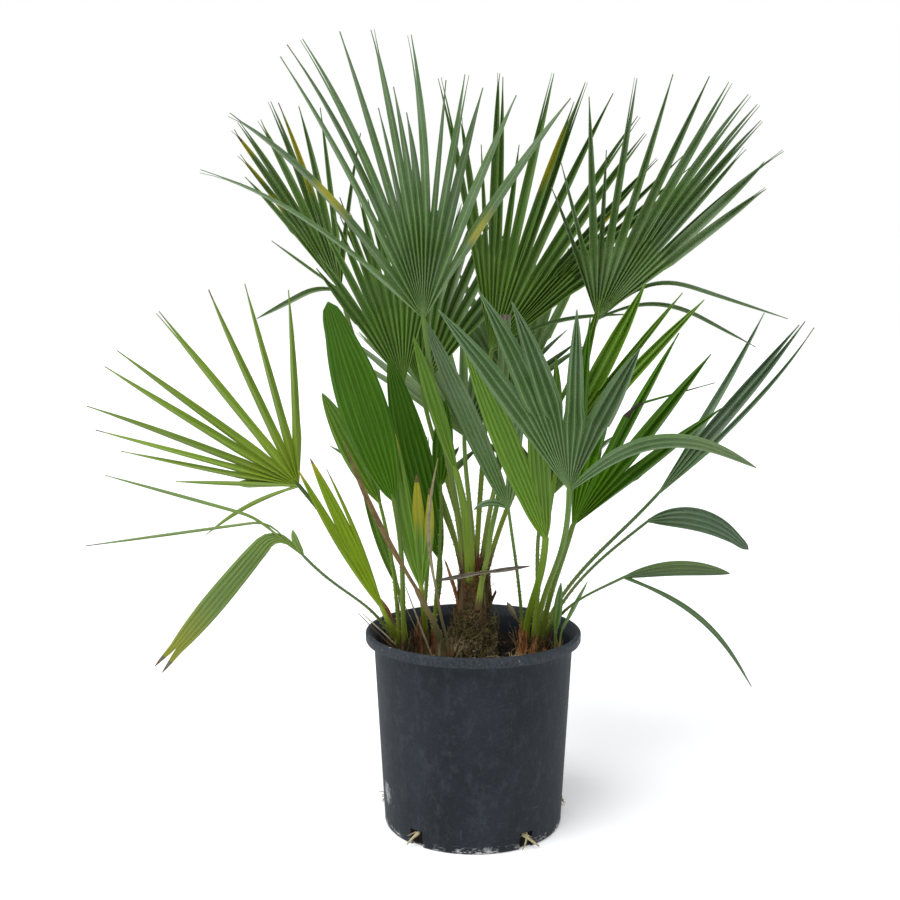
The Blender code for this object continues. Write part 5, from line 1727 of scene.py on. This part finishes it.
def make_drain_roots():
    """Root ends that have grown out of the notches and curve down, with a few rootlets beside them."""
    surface = Surface()
    chance = random.Random("drain roots")
    for notch, aside, reach in DRAIN_ROOTS:
        out, sideways = outward(notch_turn(notch)), beside(notch_turn(notch))
        rings = []
        for station in range(ROOT_STATIONS + 1):
            share = station / ROOT_STATIONS
            away = BASE_RADIUS - ROOT_START + (ROOT_START + reach) * math.sin(share * math.pi / 2) * 0.8
            middle = (out * away
                      + sideways * aside * (ROOT_SPREAD * share ** 1.5 - 0.4)
                      + UP * (ROOT_LEVEL - (ROOT_LEVEL - ROOT_END) * share ** 1.4))
            radius = ROOT_RADIUS * (1 - 0.65 * share) * (1 + 0.12 * math.sin(9 * share + notch))
            ring = [middle + (sideways * math.cos(angle) + UP * math.sin(angle)) * radius
                    for angle in turns(ROOT_COLUMNS)]
            places = [radius * column for column in range(ROOT_COLUMNS)]
            rings.append(surface.row(ring, places, reach * share, share))
        surface.tube(rings, "root")
        count, longer, thicker, lower = ROOTLETS_IN_FRONT if notch < 2 else ROOTLETS_AT_SIDES
        for _ in range(count):
            start = (out * (BASE_RADIUS - 0.002) + sideways * aside * chance.uniform(-0.2, 0.8)
                     + UP * ROOT_LEVEL)
            heading = out + sideways * chance.gauss(0, 0.5) + UP * (chance.uniform(-0.6, 0.1) - lower)
            add_fibre(surface, start, heading, chance.uniform(0.6, 1.3) * reach * longer,
                      chance.uniform(0.0004, 0.0008) * thicker, 0.25, chance,
                      "fibre_" + chance.choice(("pale", "tan")), keep_off_floor)
    nodes = ["drain_root_%d" % (number + 1) for number in range(len(DRAIN_ROOTS))]
    make_piece("drain_roots", surface, "root", nodes)


def keep_off_floor(point):
    """Keeps a strand above the floor."""
    return Vector((point.x, point.y, max(point.z, LOWEST_ROOTLET)))


def make_floor():
    """A pale floor that reaches past the edges of the picture."""
    mesh = bpy.data.meshes.new("floor")
    corners = [(x * FLOOR_HALF, y * FLOOR_HALF, 0) for x, y in ((-1, -1), (1, -1), (1, 1), (-1, 1))]
    mesh.from_pydata(corners, [], [range(4)])
    mesh.materials.append(floor_material())
    put("floor", mesh)


def make_world():
    """Even light from all round, which the camera sees as plain white."""
    world = bpy.data.worlds.new("studio")
    world.use_nodes = True
    nodes, links = world.node_tree.nodes, world.node_tree.links
    lit, seen = nodes["Background"], nodes.new("ShaderNodeBackground")
    lit.inputs["Color"].default_value = SKY_COLOUR
    lit.inputs["Strength"].default_value = SKY_STRENGTH
    seen.inputs["Color"].default_value = WHITE
    mixed, ray = nodes.new("ShaderNodeMixShader"), nodes.new("ShaderNodeLightPath")
    links.new(ray.outputs["Is Camera Ray"], mixed.inputs[0])
    links.new(lit.outputs[0], mixed.inputs[1])
    links.new(seen.outputs[0], mixed.inputs[2])
    links.new(mixed.outputs[0], nodes["World Output"].inputs["Surface"])
    bpy.context.scene.world = world


def make_studio():
    """The floor, a soft key light from the top left, a weak fill, and the camera."""
    make_floor()
    make_world()
    for name, towards, strength, angle in SUNS:
        light = bpy.data.lights.new(name, "SUN")
        light.energy = strength
        light.angle = math.radians(angle)
        put(name, light).rotation_euler = Vector(towards).to_track_quat("Z", "Y").to_euler()
    data = bpy.data.cameras.new("camera")
    data.lens = LENS
    data.sensor_width = SENSOR
    camera = put("camera", data)
    camera.location = CAMERA_PLACE
    camera.rotation_euler = (math.radians(CAMERA_PITCH), 0, 0)
    bpy.context.scene.camera = camera
    bpy.context.scene.view_settings.view_transform = "Standard"


MATERIALS = {"bark": bark_material(), "soil": soil_material(), "pot_plastic": pot_material(),
             "stalk_dead": dead_stalk_material()}
for key, leaf in LEAVES.items():
    MATERIALS[key] = leaf_material(key, leaf)
    MATERIALS["stalk_" + key] = stalk_material("stalk_" + key, leaf)
for key, (colour, roughness) in PLAIN.items():
    MATERIALS[key] = plain_material(key, colour, roughness)
for key, (dark, light) in PAPERY.items():
    MATERIALS[key] = papery_material(key, dark, light)

make_pot()
make_soil()
make_drain_roots()
make_trunk()
make_suckers()
make_fronds()
make_studio()
